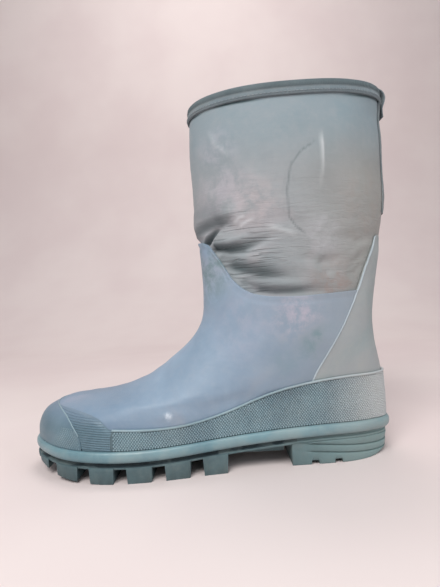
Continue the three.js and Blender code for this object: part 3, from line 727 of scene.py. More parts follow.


# Folds of the soft shaft, in side view: the valley's line, its depth (a ridge is negative), how wide it is
# above and below the line, the shares of its length over which it starts and ends, its side (-1 outer, 1
# inner, 0 both), and how much shade is painted into it (a painted highlight where negative). The first three
# are little but painted shade
folds = [
    ([(24, 146), (34, 141.5), (48, 138.5), (64, 137.5), (80, 138), (96, 139)], 0.1, 5, 3, 0.1, 0.6, -1, 0.5),
    ([(10, 166), (24, 159), (34, 151), (44, 147)], 0.1, 5, 6, 0.1, 0.6, -1, 0.4),
    ([(-8, 197), (4, 199), (16, 197), (28, 192)], 0.2, 8, 8, 0.0, 0.5, 0, 0.42),
    ([(0.5, 174), (3, 177.5), (6, 181.5), (10.5, 185.5), (18, 188.5)], 4.8, 2.4, 2.0, 0.15, 0.5, -1, 0.8),
    ([(0.5, 174), (4, 180), (10, 184), (18, 187)], 4.0, 2.6, 2.2, 0.2, 0.5, 1, 0.67),
    ([(-1.5, 176), (1, 179), (5, 185.5)], -1.6, 1.3, 1.3, 0.1, 0.4, -1, 0.0),
    ([(-16, 184), (-4, 184.5), (4, 188)], -2.6, 6.0, 3.6, 0.0, 0.5, 0, 0.0),
    ([(8, 196), (22, 198), (36, 196)], -1.6, 6.0, 5.0, 0.3, 0.5, 0, 0.0),
    ([(-6, 184), (2, 187.5), (10, 190), (18, 189.5), (30, 185)], 3.4, 6.0, 4.4, 0.0, 0.5, 0, 0.7),
    ([(6, 175.5), (18.8, 176), (30, 177.5), (38, 181)], -2.2, 2.6, 2.6, 0.1, 0.4, 0, 0.0),
    ([(7, 171.5), (20, 168.6), (31, 168.4), (42, 172), (54, 177), (68, 180)],
     4.4, 4.6, 2.2, 0.0, 0.8, -1, 0.8),
    ([(9, 167), (20, 166), (36, 167), (52, 170)], 4.2, 4.4, 2.4, 0.0, 0.45, 1, 0.7),
    ([(11, 164.6), (20.5, 163.8), (30.3, 164.4)], 0.91, 1.0, 0.8, 0.1, 0.5, -1, 0.25),
    ([(11.7, 160.9), (22, 160.7), (31.7, 162)], 0.78, 1.0, 0.8, 0.1, 0.5, -1, 0.25),
    ([(14.7, 157), (23, 157.5), (33, 159)], 0.65, 0.9, 0.8, 0.1, 0.5, -1, 0.25),
    ([(22, 161.5), (40, 162), (58, 160)], -0.9, 4.0, 3.6, 0.3, 0.4, 0, 0.0),
    ([(12, 158), (30, 151.8), (45, 148), (58, 146), (72, 145.6), (86, 148)],
     3.6, 6.0, 3.0, 0.15, 0.6, -1, 0.73),
    ([(17, 154), (36, 149), (56, 145), (76, 145)], 4.0, 5.4, 2.8, 0.2, 0.4, 1, 0.67),
    ([(34, 142.5), (50, 140.4), (72, 139.8), (88, 140.5)], -0.7, 2.8, 2.4, 0.3, 0.3, 0, 0.0),
    ([(32, 139.6), (41.4, 136.2), (54, 134), (67, 133.8), (82, 134.4), (98, 135.4), (114, 136)],
     3.2, 5.0, 2.4, 0.15, 0.7, -1, 0.6),
    ([(34, 139.2), (54, 134.4), (76, 135), (104, 136)], 3.2, 4.2, 2.4, 0.2, 0.5, 1, 0.53),
    ([(18.3, 152.8), (25.5, 144.4)], 0.78, 0.9, 0.9, 0.2, 0.3, -1, 0.25),
    ([(21, 153.4), (28.5, 144.2), (34.2, 140)], 0.78, 0.9, 0.9, 0.2, 0.3, -1, 0.25),
    ([(24, 152), (33, 143.4), (41, 139.4)], 0.65, 0.9, 0.9, 0.3, 0.3, -1, 0.25),
    ([(88, 159.6), (96, 153.3), (98, 144)], 1.7, 5.0, 4.0, 0.3, 0.3, -1, 0.0),
    ([(132, 166), (122, 157), (112, 152)], 0.9, 3.2, 2.6, 0.4, 0.4, -1, 0.0),
    ([(130, 157), (120, 148), (108, 145)], 0.8, 3.0, 2.4, 0.4, 0.4, -1, 0.0),
    ([(130, 166), (118, 157), (108, 152)], 1.2, 3.0, 2.6, 0.4, 0.4, 1, 0.0),
    ([(70, 162), (92, 157), (112, 160)], 1.3, 5.0, 4.0, 0.3, 0.3, 0, 0.0),
    ([(100, 176), (122, 172), (146, 178)], 1.2, 5.0, 4.0, 0.3, 0.3, 0, 0.0),
    ([(24.1, 189.3), (29.6, 193.1), (34.8, 194.5)], -0.5, 1.4, 1.4, 0.3, 0.3, -1, -0.3),
    ([(27.7, 185.6), (35.3, 189.9), (42, 192)], -0.5, 1.4, 1.4, 0.3, 0.3, -1, -0.3),
    ([(46.9, 185.6), (63.7, 180.7), (76, 176.5)], -0.7, 2.0, 2.0, 0.3, 0.3, -1, -0.25),
    ([(48, 192), (66, 190), (84, 184)], 0.8, 4.0, 4.0, 0.3, 0.3, 0, 0.0),
    ([(7.9, 266), (13.9, 251), (23, 242.5), (29.3, 245)], -0.35, 1.6, 1.6, 0.3, 0.3, -1, -0.12),
    ([(93.5, 256), (94.4, 241.2), (94.2, 227.6), (91, 205)], -0.8, 1.2, 1.2, 0.25, 0.85, -1, -0.5),
    ([(92.7, 248.5), (78, 239.3), (69.2, 229), (66, 211.3), (66.5, 191.8), (71.4, 184), (82.5, 174.8)],
     0.5, 0.9, 0.9, 0.1, 0.1, -1, 0.5),
]


# The signed distance to a line, positive on its left going along it, and the share of its length passed
def beside(x, z, points):
    lengths = [math.hypot(b[0] - a[0], b[1] - a[1]) for a, b in zip(points, points[1:])]
    best, signed, share, passed = np.full(x.shape, 1e9), np.zeros(x.shape), np.zeros(x.shape), 0.0
    for (ax, az), (bx, bz), length in zip(points, points[1:], lengths):
        dx, dz = bx - ax, bz - az
        t = np.clip(((x - ax) * dx + (z - az) * dz) / length ** 2, 0, 1)
        away = np.hypot(x - ax - t * dx, z - az - t * dz)
        nearer = away < best
        best = np.where(nearer, away, best)
        signed = np.where(nearer, away * np.sign(dx * (z - az) - dz * (x - ax)), signed)
        share = np.where(nearer, (passed + t * length) / sum(lengths), share)
        passed += length
    return signed, share


# The bump of every fold at points of the surface, with where shade is painted, in the folds and under the
# collar, and where highlights are painted on the crests
def foldParts(p):
    x, y, z = p[..., 0], p[..., 1], p[..., 2]
    bump, paintedShadeAmount, paintedHighlight = np.zeros(x.shape), np.zeros(x.shape), np.zeros(x.shape)
    for points, depth, upper, lower, start, end, side, tone in folds:
        signed, share = beside(x, z, points)
        weight = smooth(0, start + 1e-3, share) * smooth(0, end + 1e-3, 1 - share)
        weight = weight * (1.0 if side == 0 else smooth(-4, 10, y * side))
        bump -= depth * weight * np.exp(-((signed / np.where(signed > 0, upper, lower)) ** 2))
        # painted shade in the fold's valley
        if tone > 0:
            reach = np.where(signed > 0.3 * upper, upper * 1.5, lower * 0.8 + 0.3 * upper)
            paintedShadeAmount = np.maximum(paintedShadeAmount, weight * tone * np.exp(-(((signed - 0.3 * upper) / reach) ** 2)))
        # a painted highlight on the crest where the tone is negative
        if tone < 0:
            paintedHighlight = np.maximum(paintedHighlight, -tone * weight * np.exp(-((signed / upper) ** 2)))
    # a painted shadow under the collar binding
    underCollar = smooth(0.9, 0.2, np.abs(z - topLine(x) + 9.6))
    return bump, np.maximum(paintedShadeAmount, underCollar), paintedHighlight


shapeLook = {"toeDrop": 2.8, "sway": 0.35, "crinkle": 0.1, "slim": 2.5, "overhang": 3.6}


# How far the top of the toe lies under the master surface
def toeDrop(p):
    return shapeLook["toeDrop"] * np.exp(-(((p[..., 0] + 90) / 26) ** 2)) * smooth(44, 58, p[..., 2])


# The soft shaft sways and crinkles, is slimmer at the back and hangs over the rubber's front peak
def foldBump(step, turn, p):
    x, y, z = p[..., 0], p[..., 1], p[..., 2]
    sway = np.sin(x * 0.07 + z * 0.05) * np.sin(y * 0.06 + z * 0.11 + 1.3)
    sway = sway + 0.6 * np.sin(x * 0.13 - z * 0.09 + y * 0.05)
    crinkle = np.sin(x * 0.31 + 2.1 * np.sin(z * 0.17)) * np.sin(z * 0.43 + 1.7 * np.sin(x * 0.11 + y * 0.09))
    slim = shapeLook["slim"] * smooth(112, 148, x) * smooth(205, 232, z) * (1 - 0.75 * smooth(270, 285, z))
    overhang = shapeLook["overhang"] * smooth(178.5, 186, z) * (1 - smooth(190, 212, z))
    overhang = overhang * (1 - smooth(-6, 16, x))
    loose = shapeLook["sway"] * sway + shapeLook["crinkle"] * crinkle
    loose = loose * smooth(130, 160, z) * (1 - smooth(240, 285, z))
    return foldParts(p)[0] + loose - slim + overhang - toeDrop(p)


# The columns of a closed ring
def ringTurns(count):
    return np.arange(count) / count


# Neoprene bootie and its lining, with the same folds through every layer: the bootie's rows stand closest
# between the shares foldsFrom and foldsTo of its height
bootieLook = {"columns": 320, "bottom": 7.5, "foldsFrom": 0.5, "foldsTo": 0.83, "rows": (26, 110, 36),
              "backs": 90}
liningLook = {"columns": 200, "bottom": 9, "outerRows": 90, "innerRows": 110}
turns = ringTurns(bootieLook["columns"])
low = crossing(turns, neopreneOuter, above(soleLine, bootieLook["bottom"]))
high = crossing(turns, neopreneOuter, above(topLine))
stops = (0, bootieLook["foldsFrom"], bootieLook["foldsTo"], 1)
runs = [np.linspace(a, b, count)[:-1] for a, b, count in zip(stops, stops[1:], bootieLook["rows"])]
rows = wallRows(turns, low, high, neopreneOuter, neopreneInner, np.concatenate(runs + [[1.0]]), foldBump,
                bootieLook["backs"], 0.5, foldBump)
bootie = wallObject("neopreneBootie", turns, rows, materials["neoprene"])
place = np.array([masterPoint(step, turns) for step, _ in rows])
# the painted shade and painted highlights are stored on the bootie's points for its material
for label, values in zip(("paintedShade", "paintedHighlight"), foldParts(place)[1:]):
    bootie.data.attributes.new(label, "FLOAT", "POINT").data.foreach_set(
        "value", np.ascontiguousarray(values.reshape(-1), np.float32))
bends(bootie, "neoprene", "neoprene_sock", "neoprene_flex", "neoprene_shaft")

turns = ringTurns(liningLook["columns"])
low = crossing(turns, liningInner, above(soleLine, liningLook["bottom"]))
high = crossing(turns, liningInner, above(topLine))
rings = []
for depth, shares in ((liningOuter, np.linspace(1, 0, liningLook["outerRows"])),
                      (liningInner, even(liningLook["innerRows"]))):
    for k in shares:
        step = low + (high - low) * k
        rings.append(surfacePoint(step, turns, depthUnder(foldBump, turns, step, depth)))
lining = meshObject("innerLining", np.concatenate(rings), gridFaces(len(rings), len(turns), True, True),
                    materials["lining"])
bends(lining, "lining", "sock_lining", "flex_lining", "shaft_lining")
print("bootie and lining made")

# The rubber foot: its vamp, and the heel counter behind the slanting seams
vampLook = {"columns": 340, "rows": 90, "backs": 24, "bottom": 1.0, "rim": 0.6, "seam": 0.25, "girth": 450}
counterLook = {"columns": 150, "rows": 110, "topStep": 12.27, "piping": 0.8, "pipingTop": 12.25, "sunk": 1.5,
               "sunkFrom": 162, "sunkTo": 177}


# The vamp ripples, creases across the toe, has a lip along the scoop and a bulge at the knuckle of the little
# toe, whose highlight is painted into the vamp's colour
def vampBump(step, turn, p):
    x, y, z = p[..., 0], p[..., 1], p[..., 2]
    ripple = 0.5 * np.sin(x * 0.085 + y * 0.03) * np.sin(z * 0.06 + x * 0.02 + 0.7)
    ripple = ripple + 0.25 * np.sin(x * 0.16 + y * 0.11)
    toeCreases = 0.0
    for at, depth, width in ((-52, 0.5, 5.0), (-38, 0.4, 4.0)):
        curved = x - at - 0.12 * np.abs(y)
        toeCreases = toeCreases + depth * np.exp(-((curved / width) ** 2)) * smooth(52, 64, z)
    under = scoopLine(x) - z
    lip = 0.6 * np.exp(-((under / 1.6) ** 2)) - 0.5 * np.exp(-(((under - 3.4) / 0.8) ** 2))
    lip = lip * smooth(-12, -2, x)
    knuckle = 0.9 * np.exp(-(((x + 31) / 11) ** 2) - ((z - 47) / 4) ** 2) * (y < 0)
    return ripple * smooth(36, 60, z) * 0.8 - toeCreases + lip + knuckle - toeDrop(p)


# The turn of the counter's seam on each side for a table of steps
seamSteps = np.linspace(0, 12.7, 260)
seamTurns = []
for sign in (1, -1):
    low, high = np.zeros(seamSteps.shape), np.full(seamSteps.shape, 0.4)
    for _ in range(24):
        middle = (low + high) / 2
        p = masterPoint(seamSteps, middle * sign % 1)
        behind = pastCounter(p[:, 0], p[:, 2]) < 0
        low, high = np.where(behind, middle, low), np.where(behind, high, middle)
    seamTurns.append(low)


def counterColumns(shares):
    def columns(step):
        outerTurn, innerTurn = (np.interp(step, seamSteps, t) for t in seamTurns)
        return -innerTurn + (outerTurn + innerTurn) * shares

    return columns


# The vamp's columns stop following the seam where it meets the scoop
def vampColumns(shares):
    def columns(step):
        capped = np.minimum(step, cornerStep)
        gap = vampLook["seam"] / vampLook["girth"]
        outerTurn, innerTurn = (np.interp(capped, seamSteps, t) + gap for t in seamTurns)
        return outerTurn + (1 - innerTurn - outerTurn) * shares

    return columns


seamPlace = masterPoint(seamSteps, seamTurns[0])
cornerStep = seamSteps[np.argmax(above(scoopLine)(seamPlace[:, 0], seamPlace[:, 2]) > 0)]
shares = even(vampLook["columns"])
columns = vampColumns((1 - np.cos(np.pi * shares)) / 2 * 0.3 + shares * 0.7)
lower = crossing(columns, 0, above(soleLine, vampLook["bottom"]))
upper = crossing(columns, 0, above(scoopLine))
rows = wallRows(columns, lower, upper, 0.0, rubberWall, even(vampLook["rows"]), vampBump, vampLook["backs"],
                vampLook["rim"], lambda step, turn, p: -toeDrop(p))
vamp = wallObject("vampShell", columns, rows, materials["vamp"], ring=False)
bends(vamp, "foot_rubber", "vamp")


# The counter's top lies flat against the soft shaft
def counterSunk(z):
    return counterLook["sunk"] * smooth(counterLook["sunkFrom"], counterLook["sunkTo"], z)


def counterBump(step, turn, p):
    z = p[..., 2]
    return 0.55 * np.exp(-(((z - 137) / 0.8) ** 2)) - counterSunk(z)


columns = counterColumns(even(counterLook["columns"]))
lower = crossing(columns, 0, above(soleLine, vampLook["bottom"]))
upper = np.full(lower.shape, counterLook["topStep"])
rows = wallRows(columns, lower, upper, 0.0, rubberWall, even(counterLook["rows"]), counterBump,
                vampLook["backs"], vampLook["rim"])
counter = wallObject("heelCounter", columns, rows, materials["counter"], ring=False)
bends(counter, "foot_rubber", "heel_counter")
pipes = []
for t, sign in zip(seamTurns, (1, -1)):
    turn = t * sign % 1
    line = surfacePoint(seamSteps, turn, 0.15 + counterSunk(masterPoint(seamSteps, turn)[:, 2]))
    pipes.append(line[(line[:, 2] > foxingLine(line[:, 0]) - 1) & (seamSteps < counterLook["pipingTop"])])
piping = beads("counterPiping", [np.concatenate([pipes[0], pipes[1][::-1]])], counterLook["piping"],
               materials["piping"])
bends(piping, "foot_rubber")
print("rubber foot made")

# The foxing band goes round the foot from one toe side to the other
foxingLook = {"columns": 420, "rows": 16, "backs": 4, "rim": 0.4, "thinner": 0.35, "front": -74,
              "edgeRadius": 0.95}


# The turn, from the heel, at which a side of the foot reaches the band's front end
def frontTurn(sign):
    probe = np.linspace(0, 0.5, 2001)
    turns = probe if sign > 0 else 1 - probe
    side = surfacePoint(crossing(turns, overlayOuter, above(beadLine, 6)), turns, overlayOuter)
    return probe[np.argmin(np.abs(side[:, 0] - foxingLook["front"]))]


frontOuter, frontInner = frontTurn(1), frontTurn(-1)
turns = np.linspace(-frontInner, frontOuter, foxingLook["columns"])
lower = crossing(turns, overlayOuter, above(beadLine))
upper = crossing(turns, overlayOuter, above(foxingLine))
rows = wallRows(turns, lower, upper, overlayOuter + foxingLook["thinner"], overlayInner,
                even(foxingLook["rows"]), None, foxingLook["backs"], foxingLook["rim"])
foxing = wallObject("foxingBand", turns, rows, materials["foxing"], False)
rides(foxing, "foot", "foot_rubber", "foxing_band")
edge = beads("foxingEdge", [surfacePoint(upper - 0.03, turns, overlayOuter + 0.3)], foxingLook["edgeRadius"],
             materials["foxingRim"])
rides(edge, "foot", "foot_rubber")

# Raised diamonds in rows up from the bead, every second row half a diamond along
diamondLook = {"along": 2.05, "up": 2.7, "relief": 0.7, "fill": 0.84, "tip": 0.42, "bandFirst": 1.1,
               "bandRows": 40, "bandEnd": 1.5, "capFirst": 1.2, "capRows": 14, "capTop": 40, "capEnd": 1.6,
               "faintest": 0.25}
along, up = diamondLook["along"], diamondLook["up"]


# The turns and steps of the diamonds: a row is laid out from the length that anchor gives, and its ends stay
# clear by margin
def diamondSpots(turns, first, count, anchor, margin):
    spots = []
    for row in range(count):
        step = crossing(turns, overlayOuter, above(beadLine, first + row * up / 2))
        line = surfacePoint(step, turns, overlayOuter)
        run = runAlong(line)
        s = np.arange(-260, 520) * along + anchor(line, run) + (along / 2 if row % 2 else 0)
        s = s[(s > margin) & (s < run[-1] - margin)]
        spots.append((np.interp(s, run, turns), np.interp(s, run, step)))
    return np.concatenate(spots, -1)


def diamondField(name, turn, step, depth, sizes, material):
    w, h = along / 2 * diamondLook["fill"], up / 2 * diamondLook["fill"]
    points = [(w, 0, 0), (0, h, 0), (-w, 0, 0), (0, -h, 0)]
    points += [(x * diamondLook["tip"], y * diamondLook["tip"], diamondLook["relief"]) for x, y, _ in points]
    faces = [(4, 5, 6, 7), (0, 1, 5, 4), (1, 2, 6, 5), (2, 3, 7, 6), (3, 0, 4, 7)]
    shape = templateObject("diamondShape", points, faces, False)
    alongs = surfacePoint(step, turn + turnNudge, 0) - surfacePoint(step, turn - turnNudge, 0)
    place = surfacePoint(step, turn, depth)
    field = scattered(name, place, alongs, normalAt(step, turn), sizes, shape, material)
    bpy.data.objects.remove(shape)
    return field


# On the band's outer side a diamond stands at x = 40, and the rest follow from it
def bandAnchor(line, run):
    outer = probe > 0.1
    return np.interp(-40, -line[outer, 0], run[outer])


probe = np.linspace(-frontInner, frontOuter, 700)
turn, step = diamondSpots(probe, diamondLook["bandFirst"], diamondLook["bandRows"], bandAnchor,
                          diamondLook["bandEnd"])
bandDepth = overlayOuter + 0.38
place = surfacePoint(step, turn, bandDepth)
keep = place[:, 2] < foxingLine(place[:, 0]) - diamondLook["bandEnd"]
diamonds = diamondField("foxingDiamonds", turn[keep], step[keep], bandDepth, (1, 1, 1),
                        materials["foxingTip"])
rides(diamonds, "foot", "foot_rubber")
print("foxing diamonds:", keep.sum())

# The toe cap, in front of its slanting line
capLook = {"columns": 160, "rows": 44, "backs": 8, "rim": 0.1, "edge": 0.5}
turns = np.linspace(0, 1, 4001)
upper = crossing(turns, overlayOuter, pastCap)
lower = crossing(turns, overlayOuter, above(beadLine))
inCap = np.where((upper - lower > 0.04) & (np.abs(turns - 0.5) < 0.24))[0]
capTurns = np.linspace(turns[inCap[0]], turns[inCap[-1]], capLook["columns"])
upper = crossing(capTurns, overlayOuter, pastCap)
lower = np.minimum(crossing(capTurns, overlayOuter, above(beadLine)), upper - 0.01)


def capBump(step, turn, p):
    return -1.35 * smooth(46, 54, p[..., 2]) - toeDrop(p)


rows = wallRows(capTurns, lower, upper, overlayOuter, overlayInner, even(capLook["rows"]), capBump,
                capLook["backs"], capLook["rim"])
cap = wallObject("toeCap", capTurns, rows, materials["toe"], False)
rides(cap, "foot", "foot_rubber", "toe_cap")

# The cap's diamonds are lower, and fade out towards the tip of the toe
turn, step = diamondSpots(capTurns, diamondLook["capFirst"], diamondLook["capRows"], lambda line, run: 0, 0)
capDepth = overlayOuter + 0.1
place = surfacePoint(step, turn, capDepth)
fade = smooth(-133, -121, place[:, 0] - 0.7 * (place[:, 2] - 24))
keep = (place[:, 0] < capLine(place[:, 2]) - diamondLook["capEnd"]) & (place[:, 2] < diamondLook["capTop"])
keep = keep & (fade > diamondLook["faintest"])
sizes = np.stack([fade, fade, fade * 0.5], -1)
hatch = diamondField("toeCapHatch", turn[keep], step[keep], capDepth, sizes[keep], materials["toeHatch"])
rides(hatch, "foot", "foot_rubber")

# The toe sides lie between the band and the cap, and carry fine ribs
wingLook = {"columns": 90, "rows": 30, "backs": 4, "rim": 0.1, "thinner": 0.45, "ribs": 24, "ribPitch": 1.7,
            "ribRadius": 0.52, "ribFirst": 1.0, "ribSlope": 0.05}
wingDepth = overlayOuter + wingLook["thinner"]


def wingEnds(turns):
    tests = (above(beadLine), pastCap, above(wingLine))
    bottom, front, top = (crossing(turns, overlayOuter, test) for test in tests)
    return np.maximum(bottom, front + 0.002), top


def wingBump(step, turn, p):
    return -1.05 * (1 - smooth(0, 5, wingLine(p[..., 0]) - p[..., 2])) - toeDrop(p)


# A rib's height over the bead, which grows a little towards the toe
def ribLine(lift):
    return lambda x, z: z - beadLine(x) - lift + wingLook["ribSlope"] * (x - foxingLook["front"])


for name, node, front, sign in (("Outer", "toe_wing_outer", frontOuter, 1),
                                ("Inner", "toe_wing_inner", frontInner, -1)):
    probe = np.linspace(front + 0.00015, 0.5, 1500)
    lower, upper = wingEnds(probe if sign > 0 else 1 - probe)
    last = np.where(upper - lower > 0.03)[0][-1]
    probe = np.linspace(probe[0], probe[last], wingLook["columns"])
    turns = probe if sign > 0 else (1 - probe)[::-1]
    lower, upper = wingEnds(turns)
    upper = np.maximum(upper, lower + 0.01)
    rows = wallRows(turns, lower, upper, wingDepth, overlayInner, even(wingLook["rows"]), wingBump,
                    wingLook["backs"], wingLook["rim"])
    wing = wallObject("toeSide" + name, turns, rows, materials["toe"], False)
    rides(wing, "foot", "foot_rubber", node)
    ribs = []
    fine = np.linspace(turns[0], turns[-1], 120)
    lower, upper = wingEnds(fine)
    for k in range(wingLook["ribs"]):
        step = crossing(fine, overlayOuter, ribLine(wingLook["ribFirst"] + k * wingLook["ribPitch"]))
        inside = (step > lower + 0.02) & (step < upper - 0.04)
        if inside.sum() > 4:
            ribs.append(surfacePoint(step, fine, depthUnder(wingBump, fine, step, wingDepth))[inside])
    ribbed = beads("toeRibs" + name, ribs, wingLook["ribRadius"], materials["toe"], 6)
    rides(ribbed, "foot", "foot_rubber")

edgeTurns = capTurns[2:-2]
step = crossing(edgeTurns, overlayOuter, pastCap) - 0.02
line = surfacePoint(step, edgeTurns, depthUnder(capBump, edgeTurns, step, capDepth))
capEdge = beads("toeCapEdge", [line], capLook["edge"], materials["foxingTip"])
rides(capEdge, "foot", "foot_rubber")
print("toe made")

# The bead round the foot, whose section is (depth, height over the sole line)
beadColumns = 300
beadProfile = [(-0.3, 0.2), (-0.3, 8.6), (-1.4, 8.9), (-2.4, 8.7), (-3.2, 8.0), (-3.85, 6.9), (-4.15, 5.6),
               (-4.2, 4.6), (-4.1, 3.4), (-3.8, 2.2), (-3.2, 1.1), (-2.4, 0.4), (-1.4, 0.15)]
turns = ringTurns(beadColumns)
rings = []
for depth, height in beadProfile[::-1]:
    p = surfacePoint(crossing(turns, 0, above(soleLine, height)), turns, depth)
    p[:, 2] = soleLine(p[:, 0]) + height
    rings.append(p)
bead = meshObject("weltBead", np.concatenate(rings), gridFaces(len(rings), beadColumns, True, True),
                  materials["bead"])
rides(bead, "foot", "foot_rubber", "welt_bead")

# The outsole: a plate with lugs in two side rows and a middle row, and a separate block under the heel
soleLook = {"columns": 240, "plate": 4.2, "lugLength": 19.5, "lugPitch": 28.3, "lugs": 6, "lastLug": 3,
            "innerEdge": 15, "middle": 20, "taper": 1.3, "lugFloor": -5, "lugRoof": 16, "arch": 9,
            "archFrom": 12, "archTo": 57.5, "bevel": 0.55, "undercut": 2.65, "undercutTo": 60}


# The tread rises at the tip of the toe
def treadLine(x):
    return 0.0018 * np.maximum(-72 - x, 0) ** 2


def overSole(lift):
    return lambda x: soleLine(x) + lift


def plateBottom(x):
    return soleLine(x) - soleLook["plate"]


def lugBlock(x0, x1, y0, y1, z0, z1, taper):
    points = []
    for z, t in ((z0, taper), (z1, 0)):
        points += [(x0 + t, y0 + t, z), (x1 - t, y0 + t, z), (x1 - t, y1 - t, z), (x0 + t, y1 - t, z)]
    faces = [(3, 2, 1, 0), (4, 5, 6, 7), (0, 1, 5, 4), (1, 2, 6, 5), (2, 3, 7, 6), (3, 0, 4, 7)]
    return meshObject("lugBlock", points, faces, materials["sole"], True)


def applied(obj):
    mesh = finishedMesh(obj)
    obj.modifiers.clear()
    obj.data = mesh


def joined(objects):
    bm = bmesh.new()
    for obj in objects:
        bm.from_mesh(obj.data)
        bpy.data.objects.remove(obj)
    mesh = bpy.data.meshes.new("joined")
    bm.to_mesh(mesh)
    bm.free()
    return linked("joined", mesh)


def combined(obj, tool, operation):
    modifier = obj.modifiers.new("cut", "BOOLEAN")
    modifier.object = tool
    modifier.operation = operation
    modifier.solver = "EXACT"
    modifier.use_self = True
    applied(obj)
    bpy.data.objects.remove(tool)
    return obj


def softEdges(obj, width):
    bevel = obj.modifiers.new("softEdge", "BEVEL")
    bevel.width = width / 1000
    bevel.segments = 2
    bevel.limit_method = "ANGLE"
    bevel.angle_limit = math.radians(35)
    bevel.harden_normals = True
    applied(obj)
    obj.data.shade_smooth()
    obj.data.set_sharp_from_angle(angle=math.radians(40))
    return obj


# A ring round the sole that goes from one depth to another between two places along the boot
def changingRing(first, then, start, end, line):
    a, b = ringAt(turns, first, line), ringAt(turns, then, line)
    share = smooth(start, end, a[:, 0])[:, None]
    return a * (1 - share) + b * share


turns = ringTurns(soleLook["columns"])
plateRings = [changingRing(-1.9, -0.3, 56, 66, plateBottom), changingRing(-2.1, -0.5, 56, 66, overSole(-2.7)),
              ringAt(turns, 0.6, overSole(-2.2)), ringAt(turns, 0.6, soleLine)]
outsole = solidObject("outsolePlate", plateRings, materials["sole"])
treadRings = [ringAt(turns, -2.6, treadLine), ringAt(turns, -3.0, lambda x: plateBottom(x) - 1),
              ringAt(turns, -3.0, overSole(-3.0))]
tread = solidObject("treadLugs", treadRings, materials["sole"])
cutters = [lugBlock(soleLook["archFrom"], soleLook["archTo"], -24, 22, soleLook["arch"], 60, 0)]
half, edge, middle = soleLook["lugLength"] / 2, soleLook["innerEdge"], soleLook["middle"] / 2
for i in range(soleLook["lugs"]):
    centre = soleLook["lastLug"] - i * soleLook["lugPitch"]
    between = centre - soleLook["lugPitch"] / 2
    for at, low, high in ((centre, -200, -edge), (centre, edge, 200), (between, -middle, middle)):
        cutters.append(lugBlock(at - half, at + half, low, high, soleLook["lugFloor"], soleLook["lugRoof"],
                                soleLook["taper"]))
tread = combined(tread, joined(cutters), "INTERSECT")
outsole = softEdges(combined(outsole, tread, "UNION"), soleLook["bevel"])
outsole.name = "outsoleTread"
# The plate's edge over the lugs lies deep in shade
outsole.data.materials.append(materials["undercut"])
for poly in outsole.data.polygons:
    x, _, z = poly.center * 1000
    if z > soleLine(x - originX) - soleLook["undercut"] and x < soleLook["undercutTo"]:
        poly.material_index = 1
rides(outsole, "foot", "sole_rubber", "outsole")

# The heel block has two grooves round it, as (height, depth of the wall), and two notches under it
heelLook = {"underPlate": 0.3, "rise": 0.0072, "riseFrom": 122, "grooves": ((10.2, 0.4), (16.2, -0.1)),
            "grooveDepth": 1.2, "grooveHalf": 0.5, "grooveSlope": 0.09, "grooveFrom": 76, "grooveTo": 77.2,
            "notches": (80.5, 99), "notchHalf": 2.9, "notchTop": 3.4, "bevel": 0.5}


def heelTop(x):
    return plateBottom(x) - heelLook["underPlate"]


def heelCurve(x):
    return heelLook["rise"] * np.maximum(x - heelLook["riseFrom"], 0) ** 2


def grooveLine(height, lift):
    return lambda x: height - heelLook["grooveSlope"] * (x - 77) + lift


rings = [ringAt(turns, 1.2, heelCurve), ringAt(turns, 0.8, lambda x: heelCurve(x) + 1)]
deep, half = heelLook["grooveDepth"], heelLook["grooveHalf"]
grooveSection = [(0, -half * 2), (0.15, -half - 0.15), (deep, -half)]
grooveSection += [(sunk, -lift) for sunk, lift in grooveSection[::-1]]
for height, wall in heelLook["grooves"]:
    for sunk, lift in grooveSection:
        rings.append(changingRing(wall + sunk, wall, heelLook["grooveTo"], heelLook["grooveFrom"],
                                  grooveLine(height, lift)))
rings.append(ringAt(turns, -0.8, lambda x: heelTop(x) - 0.5))
rings.append(ringAt(turns, -0.4, heelTop))
for under, over in zip(rings, rings[1:]):
    over[:, 2] = np.maximum(over[:, 2], under[:, 2] + 0.02)
heel = solidObject("heelBlock", rings, materials["sole"])
heel = combined(heel, lugBlock(breastX, 200, -100, 100, -10, 60, 0), "INTERSECT")
for at in heelLook["notches"]:
    start, end = at - heelLook["notchHalf"], at + heelLook["notchHalf"]
    notch = lugBlock(start, end, -100, 100, -5, heelLook["notchTop"], -0.5)
    heel = combined(heel, notch, "DIFFERENCE")
heel = softEdges(heel, heelLook["bevel"])
rides(heel, "foot", "sole_rubber", "heel_block")
print("sole made")

# The footbed's foam pad and its cover, as rings of (further in than the lining, height over the sole line)
footbedLook = {"columns": 200, "gap": 0.8, "pad": ((0.6, 8.5), (0, 9.2), (0, 12.6), (0.5, 13.0)),
               "cover": ((0, 13.3), (0, 13.9), (0.8, 14.2), (4, 14.0), (9, 13.6))}
turns = ringTurns(footbedLook["columns"])
inset = liningInner + footbedLook["gap"]
padRings, coverRings = ([ringAt(turns, inset + further, overSole(lift)) for further, lift in footbedLook[key]]
                        for key in ("pad", "cover"))
bed = solidObject("footbedPad", padRings, materials["footbed"])
rides(bed, "foot", "footbed_foam", "footbed")
cover = solidObject("footbedCover", coverRings, materials["lining"])
rides(cover, "foot", "lining", "footbed_cover")
print("footbed made")

# The collar's folded binding, from under its outer edge over the rim to under its inner edge
collarLook = {"wall": 1.6, "columns": 300, "stitchPitch": 3.0, "stitchLength": 2.1, "stitchRadius": 0.38,
              "stitchHeight": -7, "stitchSunk": -0.25}
turns = ringTurns(collarLook["columns"])
collarOuter = neopreneOuter - 0.3 - collarLook["wall"]
collarInner = liningInner + 0.3 + collarLook["wall"]


def collarRow(depth, height):
    p = surfacePoint(crossing(turns, depth, above(topLine, min(height, 0.0))), turns, depth)
    p[:, 2] += max(height, 0.0)
    return p


